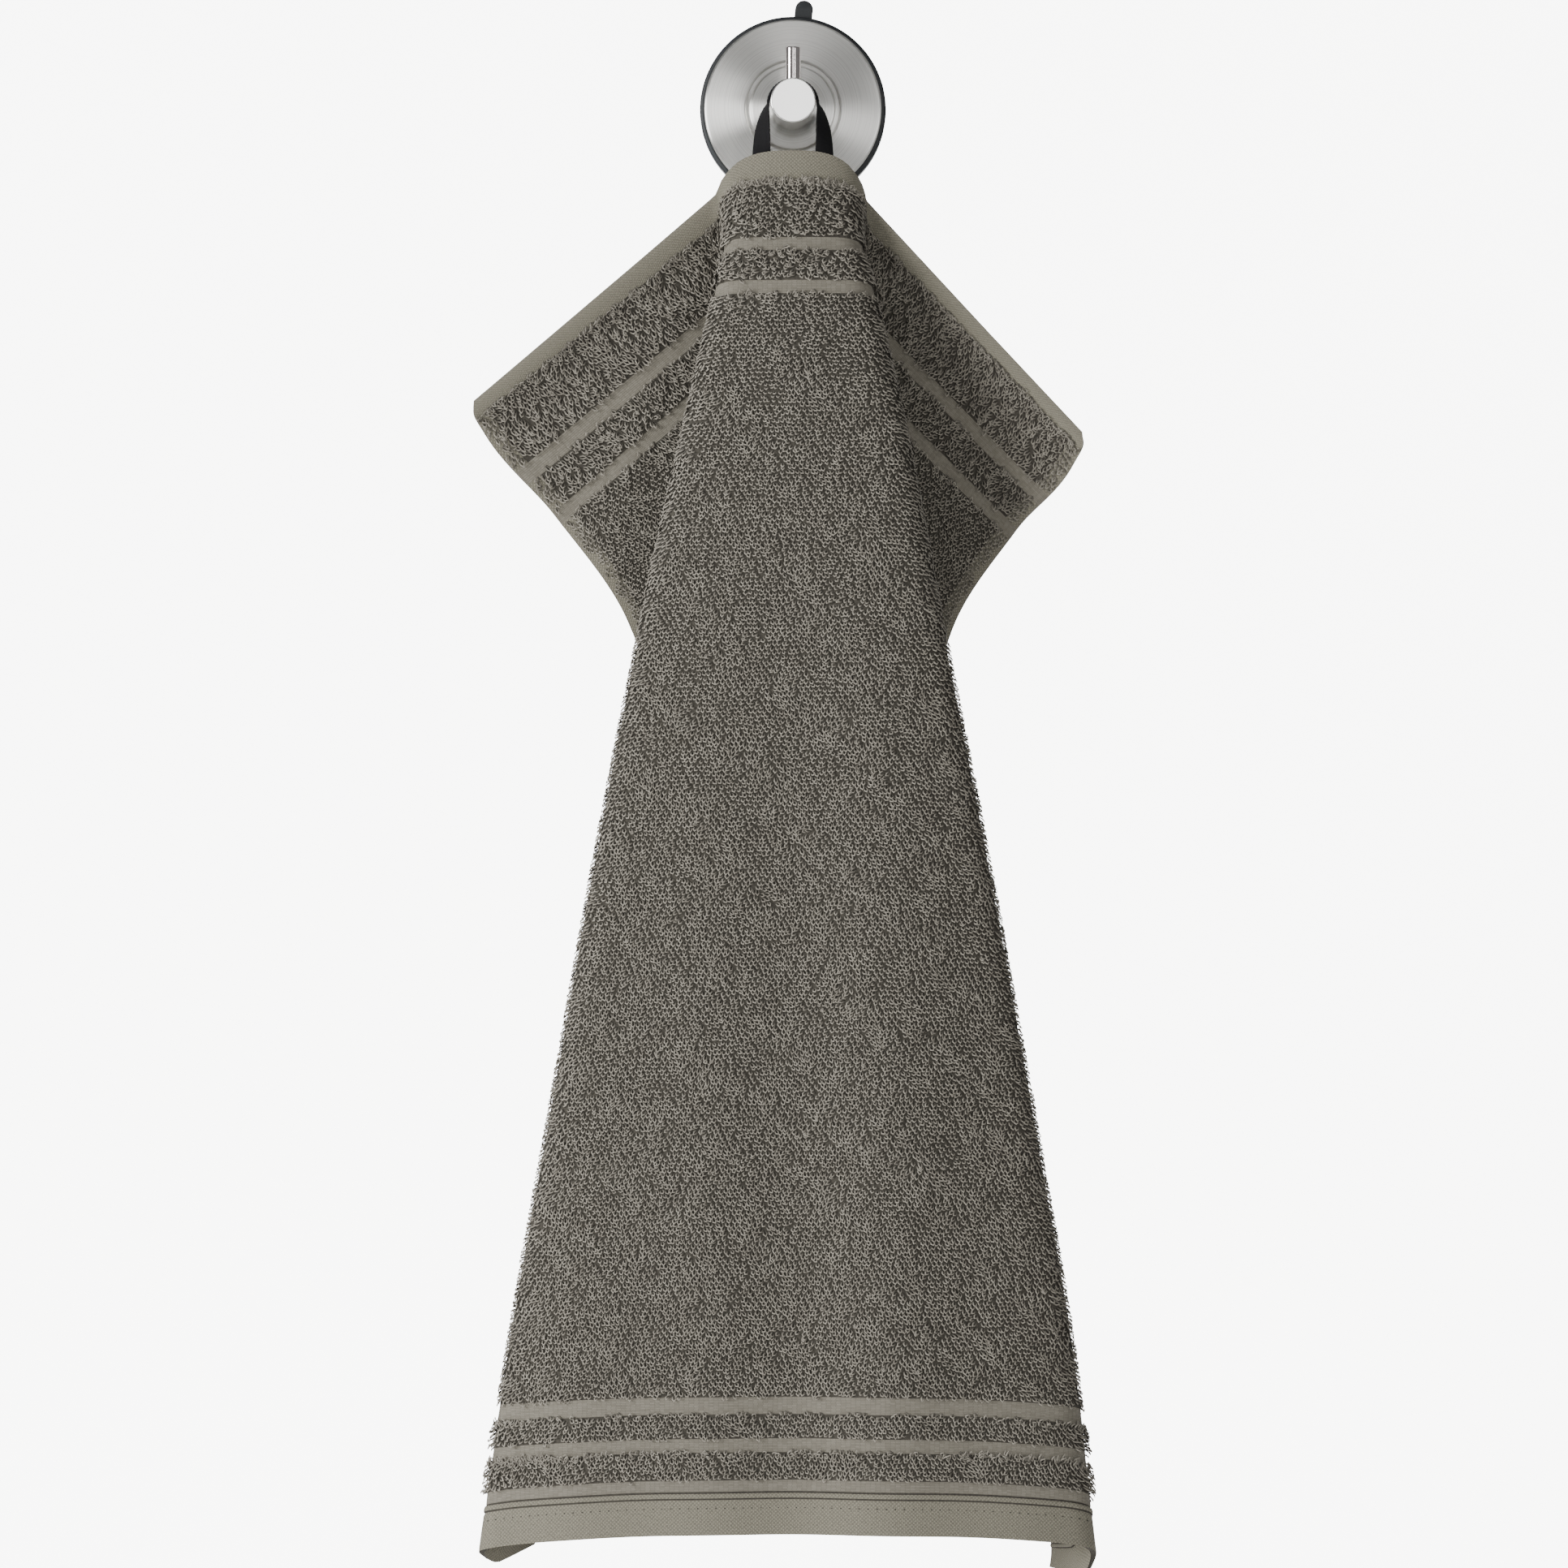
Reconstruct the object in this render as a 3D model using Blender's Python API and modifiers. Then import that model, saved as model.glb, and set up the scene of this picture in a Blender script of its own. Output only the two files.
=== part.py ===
"""Guest towel hung by its tape loop from a round steel wall hook.

Metres, +Z up. The origin is where the hook's axis meets the wall, the wall is the
plane Y = 0, and everything hangs in front of it at negative Y.
"""
import math
from collections import namedtuple

import bmesh
import bpy
import numpy as np
from mathutils import Matrix

MM = 0.001

# The hook, turned about the Y axis. Depths are distances in front of the wall.
PAD_RADIUS = 34.0 * MM
PAD_DEPTH = 7.0 * MM
PAD_EDGE = 1.0 * MM
TAB_WIDTH = 6.5 * MM
TAB_REACH = 40.5 * MM
TAB_THICKNESS = 2.4 * MM
TAB_LEAN = math.radians(6.3)
FIT_GAP = 0.35 * MM
PLATE_RADIUS = 32.3 * MM
PLATE_BACK = PAD_DEPTH + FIT_GAP
PLATE_RIM = 10.5 * MM
STEP_OUTER = 17.4 * MM
STEP_INNER = 15.2 * MM
STEP_FLOOR = 9.6 * MM
BOSS_DEPTH = 11.0 * MM
PEG_RADIUS = 8.1 * MM
PEG_FRONT = 34.0 * MM
PEG_CHAMFER = 0.4 * MM
PIN_RADIUS = 2.75 * MM
PIN_DEPTH = 27.0 * MM
PIN_TOP = 20.0 * MM
PIN_SEAT = 4.0 * MM
PIN_CHAMFER = 0.3 * MM
PLATE_EDGE = 1.0 * MM
PRESS_ROUND = 0.35 * MM
DISC_STEPS = 48
PEG_STEPS = 32
ROD_STEPS = 24

# The towel as cut, and the tape sewn behind the middle of its upper hem.
TOWEL_WIDTH = 300.0 * MM
TOWEL_LENGTH = 500.0 * MM
HEM_TOP_Z = -17.6 * MM
PILE_THICKNESS = 3.6 * MM
BAND_THICKNESS = 1.8 * MM
HEM_THICKNESS = 2.2 * MM
CORD_THICKNESS = 2.8 * MM
SIDE_HEM = 6.0 * MM
TAPE_WIDTH = 7.0 * MM
TAPE_THICKNESS = 1.2 * MM
TAPE_SPREAD = 11.8 * MM
TAPE_SEWN = 10.0 * MM
TAPE_DEPTH = 19.5 * MM
SEWN_GAP = 0.5 * MM
SEWN_STEPS = 4
LEG_STEPS = 9
OVER_STEPS = 8
TAPE_COLUMNS = 2

# How the towel hangs. Each row is one weft thread, "down" mm below the upper hem, with
# the depth of its middle in front of the wall. On each half, going outwards from the
# middle, the thread bends back at "ridge" mm through "turn" degrees, runs inwards behind
# the front for "fold" mm, and bends out again to head "open" degrees off the wall's plane.
# It sinks by "sag" degrees before the ridge, "droop" after it and "flap" past the fold.
DEPTH_COLUMNS = ("down", "depth")
DEPTHS = (
    (0, 26),
    (20, 31),
    (50, 40),
    (100, 50),
    (170, 55),
    (250, 57),
    (350, 57),
    (430, 56),
    (500, 54),
)
FOLD_COLUMNS = ("down", "ridge", "turn", "fold", "open", "sag", "droop", "flap")
LEFT_FOLDS = (
    (0, 26, 24, 8, 0, 56, 64, 40.5),
    (20, 23, 82, 16, -2, 4, 52, 39),
    (50, 29, 125, 30, -2, 0, 48, 41),
    (100, 41, 150, 47, 0, 0, 45, 40),
    (170, 57, 160, 58, 8, 1, 42, 40),
    (250, 73, 162, 60, 24, 2, 35, 35),
    (350, 91, 158, 54, 50, 4, 26, 26),
    (430, 105, 145, 44, 80, 6, 15, 15),
    (500, 115.5, 128, 12, 128, 11, 34, -12),
)
RIGHT_FOLDS = (
    (0, 25, 24, 10, 0, 62, 68, 47),
    (20, 23, 82, 17, -2, 4, 56, 46),
    (50, 30, 125, 32, -2, 0, 52, 45),
    (100, 42, 150, 49, 0, 0, 49, 42),
    (170, 56, 160, 58, 8, 1, 46, 42),
    (250, 72, 162, 60, 24, 3, 39, 39),
    (350, 90, 156, 54, 50, 5, 32, 32),
    (430, 103, 134, 44, 80, 8, 28, 28),
    (500, 111, 116, 12, 116, 10, 58, 2),
)
RIDGE_BEND = 9.0
FOLD_BEND = 8.0
FRONT_CROWN = 14.0
ARC_STEPS = 300

# Slow waves that lift the cloth off a smooth form: size, length and start in mm, and
# the distance below the upper hem at which each has grown to its full size.
Wave = namedtuple("Wave", "lift length start grown")
WAVES = (
    Wave(1.5, 104, 31, 400),
    Wave(0.9, 57, 12, 480),
    Wave(0.8, 171, 64, 60),
)

# What is woven where, in mm below the upper hem. The gaps between are terry.
Band = namedtuple("Band", "start end thickness")
BANDS = (
    Band(0, 12, HEM_THICKNESS),
    Band(33.5, 38.5, BAND_THICKNESS),
    Band(50, 55, BAND_THICKNESS),
    Band(450.6, 456.7, BAND_THICKNESS),
    Band(465.4, 470.4, BAND_THICKNESS),
    Band(480.3, 484.7, BAND_THICKNESS),
    Band(484.7, 487, CORD_THICKNESS),
    Band(487, 500, HEM_THICKNESS),
)
BAND_EDGE = 0.7
ROW_PITCH = 13.5
HALF_COLUMNS = 19
BEND_WEIGHT = 20.0


def hermite(table, columns, name, at):
    """Value of one column at a distance down the towel, smooth and without overshoot."""
    x = np.array([row[0] for row in table], float)
    y = np.array([row[columns.index(name)] for row in table], float)
    step, slope = np.diff(x), np.diff(y) / np.diff(x)
    product, total = slope[1:] * slope[:-1], slope[1:] + slope[:-1]
    inner = np.where(product > 0, 2 * product / np.where(product > 0, total, 1), 0)
    tangent = np.concatenate([slope[:1], inner, slope[-1:]])
    i = np.clip(np.searchsorted(x, at) - 1, 0, len(step) - 1)
    t = (at - x[i]) / step[i]
    start = (2 * t**3 - 3 * t**2 + 1) * y[i] + (t**3 - 2 * t**2 + t) * step[i] * tangent[i]
    end = (3 * t**2 - 2 * t**3) * y[i + 1] + (t**3 - t**2) * step[i] * tangent[i + 1]
    return start + end


def ramp(at, middle, width):
    """Smooth rise from 0 to 1 over a width around a middle."""
    t = np.clip((at - middle) / width + 0.5, 0, 1)
    return t * t * (3 - 2 * t)


class Drape:
    """Where each point of the flat towel lies once it hangs, in mm."""

    def __init__(self):
        self.half = TOWEL_WIDTH / MM / 2
        self.across = np.linspace(0, self.half, ARC_STEPS + 1)
        down = np.linspace(0, TOWEL_LENGTH / MM, ARC_STEPS + 1)
        depth = hermite(DEPTHS, DEPTH_COLUMNS, "depth", down)
        fall = np.sqrt(1 - np.gradient(depth, down) ** 2)
        step = np.diff(down)
        sunk = np.concatenate([[0], np.cumsum((fall[1:] + fall[:-1]) / 2 * step)])
        self.down, self.depth, self.sunk = down, depth, sunk
        self.kept = {}

    def weft(self, down, side):
        """Points of half a weft thread from the middle outwards, and its bending."""
        key = (round(float(down), 6), side)
        if key in self.kept:
            return self.kept[key]
        table = RIGHT_FOLDS if side > 0 else LEFT_FOLDS
        at = {name: float(hermite(table, FOLD_COLUMNS, name, down)) for name in FOLD_COLUMNS}
        turn, back = math.radians(at["turn"]), math.radians(at["turn"] - at["open"])
        ridge_wide = min(max(turn * RIDGE_BEND, 8.0), 1.5 * at["ridge"])
        fold_wide = min(max(back * FOLD_BEND, 6.0), 1.3 * at["fold"] + 4.0)
        past_ridge = ramp(self.across, at["ridge"], ridge_wide)
        past_fold = ramp(self.across, at["ridge"] + at["fold"], fold_wide)
        front = np.clip(self.across / at["ridge"], 0, 1) * (1 - past_ridge)
        heading = np.radians(FRONT_CROWN) * front + turn * past_ridge - back * past_fold
        sinking = ramp(self.across, at["ridge"], 1.3 * ridge_wide)
        settling = ramp(self.across, at["ridge"] + at["fold"], 1.3 * fold_wide)
        dip = at["sag"] * front**2 + at["droop"] * sinking
        dip = np.radians(dip + (at["flap"] - at["droop"]) * settling)
        path = np.stack(
            [
                side * np.cos(heading) * np.cos(dip),
                np.sin(heading) * np.cos(dip),
                -np.sin(dip),
            ],
            axis=1,
        )
        step = self.across[1]
        points = np.cumsum((path[1:] + path[:-1]) / 2 * step, axis=0)
        points = np.concatenate([[[0, 0, 0]], points])
        bending = np.concatenate([[0], np.cumsum(np.abs(np.diff(heading)))])
        self.kept[key] = points, bending
        return self.kept[key]

    def point(self, across, down):
        """Place in mm of the point that lies across and down on the flat towel."""
        side = 1 if across >= 0 else -1
        points, _ = self.weft(down, side)
        x, y, z = (np.interp(abs(across), self.across, points[:, k]) for k in range(3))
        y -= np.interp(down, self.down, self.depth)
        z += HEM_TOP_Z / MM - np.interp(down, self.down, self.sunk)
        for wave in WAVES:
            size = wave.lift * ramp(down, wave.grown / 2, wave.grown)
            y += size * math.sin(2 * math.pi * (across + wave.start) / wave.length)
        return np.array([x, y, z])

    def normal(self, across, down):
        """Unit normal of the hung cloth on its wall side."""
        reach = 0.5
        low, high = max(down - reach, 0), down + reach
        over = self.point(across + reach, down) - self.point(across - reach, down)
        along = self.point(across, high) - self.point(across, low)
        facing = np.cross(over, along)
        return facing / np.linalg.norm(facing)

    def columns(self, down, side, count):
        """Distances across for a row's columns, closer together where the cloth bends."""
        _, bending = self.weft(down, side)
        crowd = self.across + BEND_WEIGHT * bending
        return np.interp(np.linspace(0, crowd[-1], count + 1), crowd, self.across)


def thickness_at(across, down):
    """Thickness of the towel, thinner where it is flat woven."""
    thick = PILE_THICKNESS
    for band in BANDS:
        if band.start <= down <= band.end:
            thick = band.thickness
    if abs(across) > (TOWEL_WIDTH / 2 - SIDE_HEM) / MM and thick == PILE_THICKNESS:
        thick = HEM_THICKNESS
    return thick


def woven_rows():
    """Distances down for the towel's rows, with a pair at each edge of a band."""
    length = TOWEL_LENGTH / MM
    edges = {edge for band in BANDS for edge in (band.start, band.end)} - {0, length}
    rows = {0.0, length}
    rows |= {edge + side * BAND_EDGE / 2 for edge in edges for side in (-1, 1)}
    filled = sorted(rows)
    for low, high in zip(filled[:-1], filled[1:]):
        pieces = math.ceil((high - low) / ROW_PITCH)
        filled += [low + (high - low) * k / pieces for k in range(1, pieces)]
    return sorted(filled)


def material(name, colour, roughness, metallic=0.0):
    """A Principled material from a linear colour."""
    made = bpy.data.materials.new(name)
    made.use_nodes = True
    shader = made.node_tree.nodes["Principled BSDF"]
    shader.inputs["Base Color"].default_value = (*colour, 1.0)
    shader.inputs["Roughness"].default_value = roughness
    shader.inputs["Metallic"].default_value = metallic
    return made


def new_object(name, mesh, home, finish, smooth=30.0):
    """An object in a collection, with its material and smooth shading below an angle."""
    made = bpy.data.objects.new(name, mesh)
    home.objects.link(made)
    made.data.materials.append(finish)
    made.data.shade_smooth()
    made.data.set_sharp_from_angle(angle=math.radians(smooth))
    return made


def sheet(name, size, place, thickness, home, finish):
    """A cloth of rows by columns, with a place and a thickness for each of its points."""
    rows, columns = size
    grid = bmesh.new()
    bmesh.ops.create_grid(grid, x_segments=columns, y_segments=rows, size=0.5)
    weights = grid.verts.layers.deform.verify()
    spots = [
        (round((vertex.co.y + 0.5) * rows), round((vertex.co.x + 0.5) * columns))
        for vertex in grid.verts
    ]
    thickest = max(thickness(row, column) for row, column in spots)
    for vertex, (row, column) in zip(grid.verts, spots):
        vertex.co = place(row, column)
        vertex[weights][0] = thickness(row, column) / thickest
    mesh = bpy.data.meshes.new(name)
    grid.to_mesh(mesh)
    grid.free()
    made = new_object(name, mesh, home, finish, smooth=60.0)
    made.vertex_groups.new(name="share")
    shell = made.modifiers.new("thickness", "SOLIDIFY")
    shell.thickness = thickest
    shell.offset = 0.0
    shell.vertex_group = "share"
    return made


def turned(name, profile, steps, home, finish):
    """A solid turned about the hook's axis from (radius, depth) points, wall side last."""
    mesh = bpy.data.meshes.new(name)
    outline = bmesh.new()
    corners = [outline.verts.new((radius, 0, depth)) for radius, depth in profile]
    for first, second in zip(corners[:-1], corners[1:]):
        outline.edges.new((first, second))
    outline.to_mesh(mesh)
    outline.free()
    made = new_object(name, mesh, home, finish)
    made.matrix_world = Matrix.Rotation(math.radians(90), 4, "X")
    spin = made.modifiers.new("turn", "SCREW")
    spin.steps = spin.render_steps = steps
    spin.use_merge_vertices = True
    spin.merge_threshold = 0.01 * MM
    return made


def combine(made, other, operation):
    """Join another mesh to an object, or cut it away, and hide the other."""
    change = made.modifiers.new(operation.lower(), "BOOLEAN")
    change.operation = operation
    change.object = other
    other.hide_render = True
    other.display_type = "WIRE"


def build_towel(drape, home, finish):
    """The towel as one sheet with its bands, hems and folds."""
    rows = woven_rows()
    sides = {
        (row, side): drape.columns(down, side, HALF_COLUMNS)
        for row, down in enumerate(rows)
        for side in (-1, 1)
    }

    def across(row, column):
        side = 1 if column >= HALF_COLUMNS else -1
        return side * sides[row, side][abs(column - HALF_COLUMNS)]

    def place(row, column):
        return drape.point(across(row, column), rows[row]) * MM

    def thickness(row, column):
        return thickness_at(across(row, column), rows[row])

    return sheet("towel", (len(rows) - 1, 2 * HALF_COLUMNS), place, thickness, home, finish)


class Tape:
    """The path of the hanging loop, from the hem up one leg, over the peg and down."""

    def __init__(self, drape):
        self.drape = drape
        self.standoff = (HEM_THICKNESS + TAPE_THICKNESS) / 2 + SEWN_GAP
        self.radius = PEG_RADIUS + FIT_GAP + TAPE_THICKNESS / 2
        self.foot = drape.point(0, 0)[2] * MM
        strip = [("sewn", k / SEWN_STEPS) for k in range(SEWN_STEPS)]
        strip += [("leg", k / LEG_STEPS) for k in range(LEG_STEPS)]
        strip += [("over", k / OVER_STEPS) for k in range(OVER_STEPS + 1)]
        self.stations = [(1, *at) for at in strip]
        self.stations += [(-1, *at) for at in reversed(strip[:-1])]

    def on_hem(self, side, wide, share):
        """A point of the sewn end, behind the hem, "wide" off the tape's middle."""
        across = side * (TAPE_SPREAD + wide) / MM
        down = TAPE_SEWN * (1 - share) / MM
        away = self.drape.normal(across, down) * self.standoff
        return self.drape.point(across, down) * MM + away

    def on_leg(self, side, wide, share):
        """A point of a leg, which turns a quarter turn between the hem and the peg."""
        turn = math.sin(share * math.pi / 2) * math.pi / 2
        lean = (TAPE_SPREAD - self.radius) * (1 - share) ** 1.5
        sewn_depth = self.on_hem(side, 0.0, 1.0)[1]
        free = np.array(
            [
                side * (self.radius + lean + wide * math.cos(turn)),
                sewn_depth * (1 - share) - TAPE_DEPTH * share + wide * math.sin(turn),
                self.foot * (1 - share),
            ]
        )
        near = ramp(share, 0.25, 0.5)
        return self.on_hem(side, wide, 1.0) * (1 - near) + free * near

    def on_peg(self, side, wide, share):
        """A point of the part that lies over the peg."""
        angle = share * math.pi / 2
        return np.array(
            [
                side * self.radius * math.cos(angle),
                wide - TAPE_DEPTH,
                self.radius * math.sin(angle),
            ]
        )

    def place(self, row, column):
        """Where the point of a row and column of the tape lies."""
        side, stage, share = self.stations[row]
        reach = {"sewn": self.on_hem, "leg": self.on_leg, "over": self.on_peg}[stage]
        return reach(side, (column / TAPE_COLUMNS - 0.5) * TAPE_WIDTH, share)


def build_tape(drape, home, finish):
    """The hanging loop: tape sewn behind the hem, twisted a quarter turn, over the peg."""
    tape = Tape(drape)
    size = (len(tape.stations) - 1, TAPE_COLUMNS)
    return sheet("hanging_loop", size, tape.place, lambda *_: TAPE_THICKNESS, home, finish)


def rod(name, radius, length, place, home, finish):
    """A short round bar of a radius and length, its middle and direction set by a matrix."""
    bar = bmesh.new()
    bmesh.ops.create_cone(
        bar,
        cap_ends=True,
        segments=ROD_STEPS,
        radius1=radius,
        radius2=radius,
        depth=length,
        matrix=place,
    )
    mesh = bpy.data.meshes.new(name)
    bar.to_mesh(mesh)
    bar.free()
    return new_object(name, mesh, home, finish)


def build_pad(home, cutters, finish):
    """The rubber pad on the wall, with its pull tab."""
    profile = (
        (0, PAD_DEPTH),
        (PAD_RADIUS - 2 * PAD_EDGE, PAD_DEPTH),
        (PAD_RADIUS - PAD_EDGE / 2, PAD_DEPTH - PAD_EDGE),
        (PAD_RADIUS, PAD_DEPTH - 3 * PAD_EDGE),
        (PAD_RADIUS, PAD_EDGE),
        (PAD_RADIUS - PAD_EDGE / 2, 0),
        (0, 0),
    )
    made = turned("wall_pad", profile, DISC_STEPS, home, finish)
    root, tip = PAD_RADIUS - TAB_WIDTH, TAB_REACH - TAB_WIDTH / 2
    middle = -PAD_EDGE - TAB_THICKNESS / 2
    tongue = bmesh.new()
    bmesh.ops.create_cube(tongue, size=1.0)
    size = Matrix.Diagonal((TAB_WIDTH, TAB_THICKNESS, tip - root, 1.0))
    move = Matrix.Translation((0, middle, (tip + root) / 2))
    bmesh.ops.transform(tongue, matrix=move @ size, verts=tongue.verts)
    mesh = bpy.data.meshes.new("tab")
    tongue.to_mesh(mesh)
    tongue.free()
    tab = new_object("tab", mesh, cutters, finish)
    upright = Matrix.Translation((0, middle, tip)) @ Matrix.Rotation(math.radians(90), 4, "X")
    tab_end = rod("tab_end", TAB_WIDTH / 2, TAB_THICKNESS, upright, cutters, finish)
    tab.matrix_world = tab_end.matrix_world = Matrix.Rotation(TAB_LEAN, 4, "Y")
    combine(tab, tab_end, "UNION")
    combine(made, tab, "UNION")
    return made


def build_plate(home, finish):
    """The pressed steel plate, with its raised middle inside a step."""
    profile = (
        (0, BOSS_DEPTH),
        (STEP_INNER - PRESS_ROUND, BOSS_DEPTH),
        (STEP_INNER, BOSS_DEPTH - PRESS_ROUND),
        (STEP_INNER + 2 * PRESS_ROUND, STEP_FLOOR),
        (STEP_OUTER - 2 * PRESS_ROUND, STEP_FLOOR),
        (STEP_OUTER, STEP_FLOOR + PRESS_ROUND),
        (PLATE_RADIUS - 2 * PLATE_EDGE, PLATE_RIM),
        (PLATE_RADIUS - PLATE_EDGE / 2, PLATE_RIM - PLATE_EDGE / 4),
        (PLATE_RADIUS, PLATE_RIM - PLATE_EDGE),
        (PLATE_RADIUS, PLATE_BACK),
        (0, PLATE_BACK),
    )
    return turned("backplate", profile, DISC_STEPS, home, finish)


def build_peg(home, cutters, finish):
    """The round peg, bored on top for the pin."""
    back = BOSS_DEPTH + FIT_GAP
    profile = (
        (0, PEG_FRONT),
        (PEG_RADIUS - PEG_CHAMFER, PEG_FRONT),
        (PEG_RADIUS, PEG_FRONT - PEG_CHAMFER),
        (PEG_RADIUS, back),
        (0, back),
    )
    made = turned("peg", profile, PEG_STEPS, home, finish)
    middle = Matrix.Translation((0, -PIN_DEPTH, (PIN_TOP + PIN_SEAT) / 2))
    bore = rod("bore", PIN_RADIUS + FIT_GAP, PIN_TOP - PIN_SEAT, middle, cutters, finish)
    combine(made, bore, "DIFFERENCE")
    return made


def build_pin(home, finish):
    """The upright pin that keeps a loop from slipping off the peg."""
    foot = PIN_SEAT + FIT_GAP
    middle = Matrix.Translation((0, -PIN_DEPTH, (PIN_TOP + foot) / 2))
    made = rod("pin", PIN_RADIUS, PIN_TOP - foot, middle, home, finish)
    edge = made.modifiers.new("edge", "BEVEL")
    edge.width = PIN_CHAMFER
    edge.segments = 1
    edge.limit_method = "ANGLE"
    edge.angle_limit = math.radians(60)
    return made


def main():
    """Build every piece into a collection named for the object."""
    for old in list(bpy.data.objects):
        bpy.data.objects.remove(old, do_unlink=True)
    home = bpy.data.collections.new("guest_towel_on_hook")
    cutters = bpy.data.collections.new("cutters")
    for collection in (home, cutters):
        bpy.context.scene.collection.children.link(collection)
    terry = material("terry", (0.105, 0.098, 0.082), 0.95)
    tape = material("tape", (0.012, 0.012, 0.014), 0.85)
    steel = material("steel", (0.62, 0.61, 0.59), 0.28, 1.0)
    rubber = material("rubber", (0.02, 0.022, 0.025), 0.6)
    drape = Drape()
    build_pad(home, cutters, rubber)
    build_plate(home, steel)
    build_peg(home, cutters, steel)
    build_pin(home, steel)
    build_tape(drape, home, tape)
    build_towel(drape, home, terry)


main()
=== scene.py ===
"""Dresses a guest towel that hangs by its tape loop from a round steel wall hook.

Metres, +Z up, with the wall at Y = 0 and everything in front of it at negative Y. The
cloth is worked out in mm on the flat towel, as "across" from its middle and "down" from
its upper hem, and then hung by the same folds as the solid that it stands for.
"""
from __future__ import annotations

import logging
import math
from dataclasses import dataclass, field
from enum import Enum
from typing import Any, NamedTuple, Sequence

import bpy
import numpy as np
from mathutils import Matrix, Vector

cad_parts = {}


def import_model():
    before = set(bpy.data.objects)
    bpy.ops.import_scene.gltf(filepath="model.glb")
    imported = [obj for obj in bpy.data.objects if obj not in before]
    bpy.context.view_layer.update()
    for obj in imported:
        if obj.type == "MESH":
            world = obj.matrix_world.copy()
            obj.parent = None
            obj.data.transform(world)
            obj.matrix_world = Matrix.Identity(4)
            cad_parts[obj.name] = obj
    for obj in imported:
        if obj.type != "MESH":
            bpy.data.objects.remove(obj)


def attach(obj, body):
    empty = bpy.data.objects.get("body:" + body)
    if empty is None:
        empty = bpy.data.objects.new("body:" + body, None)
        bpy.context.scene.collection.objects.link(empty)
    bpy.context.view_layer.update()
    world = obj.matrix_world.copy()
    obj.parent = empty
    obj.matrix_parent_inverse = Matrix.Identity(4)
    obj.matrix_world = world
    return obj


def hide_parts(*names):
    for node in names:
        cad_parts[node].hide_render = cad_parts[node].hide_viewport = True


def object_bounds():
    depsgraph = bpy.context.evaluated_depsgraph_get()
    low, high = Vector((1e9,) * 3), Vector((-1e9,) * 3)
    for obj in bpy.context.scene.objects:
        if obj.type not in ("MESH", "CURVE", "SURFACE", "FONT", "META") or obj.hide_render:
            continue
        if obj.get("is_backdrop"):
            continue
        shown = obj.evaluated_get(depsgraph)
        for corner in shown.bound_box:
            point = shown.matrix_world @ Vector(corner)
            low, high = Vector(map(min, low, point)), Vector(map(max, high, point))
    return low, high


LOG = logging.getLogger("guest_towel")
MM = 0.001
BODY = "root"
SEED = 20


class FoldRow(NamedTuple):
    """How one weft thread folds, "down" mm below the upper hem.

    Going outwards from the middle, it bends back at "ridge" mm through "turn" degrees,
    runs inwards behind the front for "fold" mm, and bends out again to head "open"
    degrees off the wall's plane. It sinks by "sag" degrees before the ridge, "droop"
    after it and "flap" past the fold.
    """

    down: float
    ridge: float
    turn: float
    fold: float
    open: float
    sag: float
    droop: float
    flap: float


class DepthRow(NamedTuple):
    """Distance in mm of the towel's middle in front of the wall, "down" mm below its hem."""

    down: float
    depth: float


class Wave(NamedTuple):
    """A slow wave in the cloth, in mm, at its full size "grown" mm below the upper hem."""

    lift: float
    length: float
    start: float
    grown: float


class Weave(Enum):
    """What the cloth is woven as; the value is its place among the cloth's finishes."""

    TERRY = 0
    FLAT = 1
    CANVAS = 2
    CORD = 3


class Face(Enum):
    """A side of the cloth; the value is its direction along the cloth's own normal."""

    FRONT = 1
    BACK = -1


class Stretch(Enum):
    """A stretch of half the tape, from its end on; the value is its number of steps."""

    SEWN = 20
    LEG = 44
    OVER = 30


class Band(NamedTuple):
    """A strip across the towel that isn't terry, in mm below the upper hem."""

    start: float
    end: float
    thickness: float
    weave: Weave


class Raised(NamedTuple):
    """Loops that are brushed up over a band, between two distances across, in mm."""

    low: float
    high: float
    down: float
    count: int
    size: float


class LoopPoint(NamedTuple):
    """A step along a loop of yarn.

    "wide", "along" and "up" are shares of the loop's half width, length and rise. "out"
    and "end" point to the loop's outer edge. "shown" is how far it is out of the shade.
    """

    wide: float
    along: float
    up: float
    out: float
    end: float
    shown: float


class Lamp(NamedTuple):
    """A soft round light: its place and size in metres and its power in watts."""

    name: str
    place: tuple[float, float, float]
    size: float
    power: float


DEPTHS = (
    DepthRow(0, 26),
    DepthRow(20, 31),
    DepthRow(50, 40),
    DepthRow(100, 50),
    DepthRow(170, 55),
    DepthRow(250, 57),
    DepthRow(350, 57),
    DepthRow(430, 56),
    DepthRow(500, 54),
)
LEFT_FOLDS = (
    FoldRow(0, 26, 24, 8, 0, 56, 64, 40.5),
    FoldRow(20, 23, 82, 16, -2, 4, 52, 39),
    FoldRow(50, 29, 125, 30, -2, 0, 48, 41),
    FoldRow(100, 41, 150, 47, 0, 0, 45, 40),
    FoldRow(170, 57, 160, 58, 8, 1, 42, 40),
    FoldRow(250, 73, 162, 60, 24, 2, 35, 35),
    FoldRow(350, 91, 158, 54, 50, 4, 26, 26),
    FoldRow(430, 105, 145, 44, 80, 6, 15, 15),
    FoldRow(500, 115.5, 128, 12, 128, 11, 34, -12),
)
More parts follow.
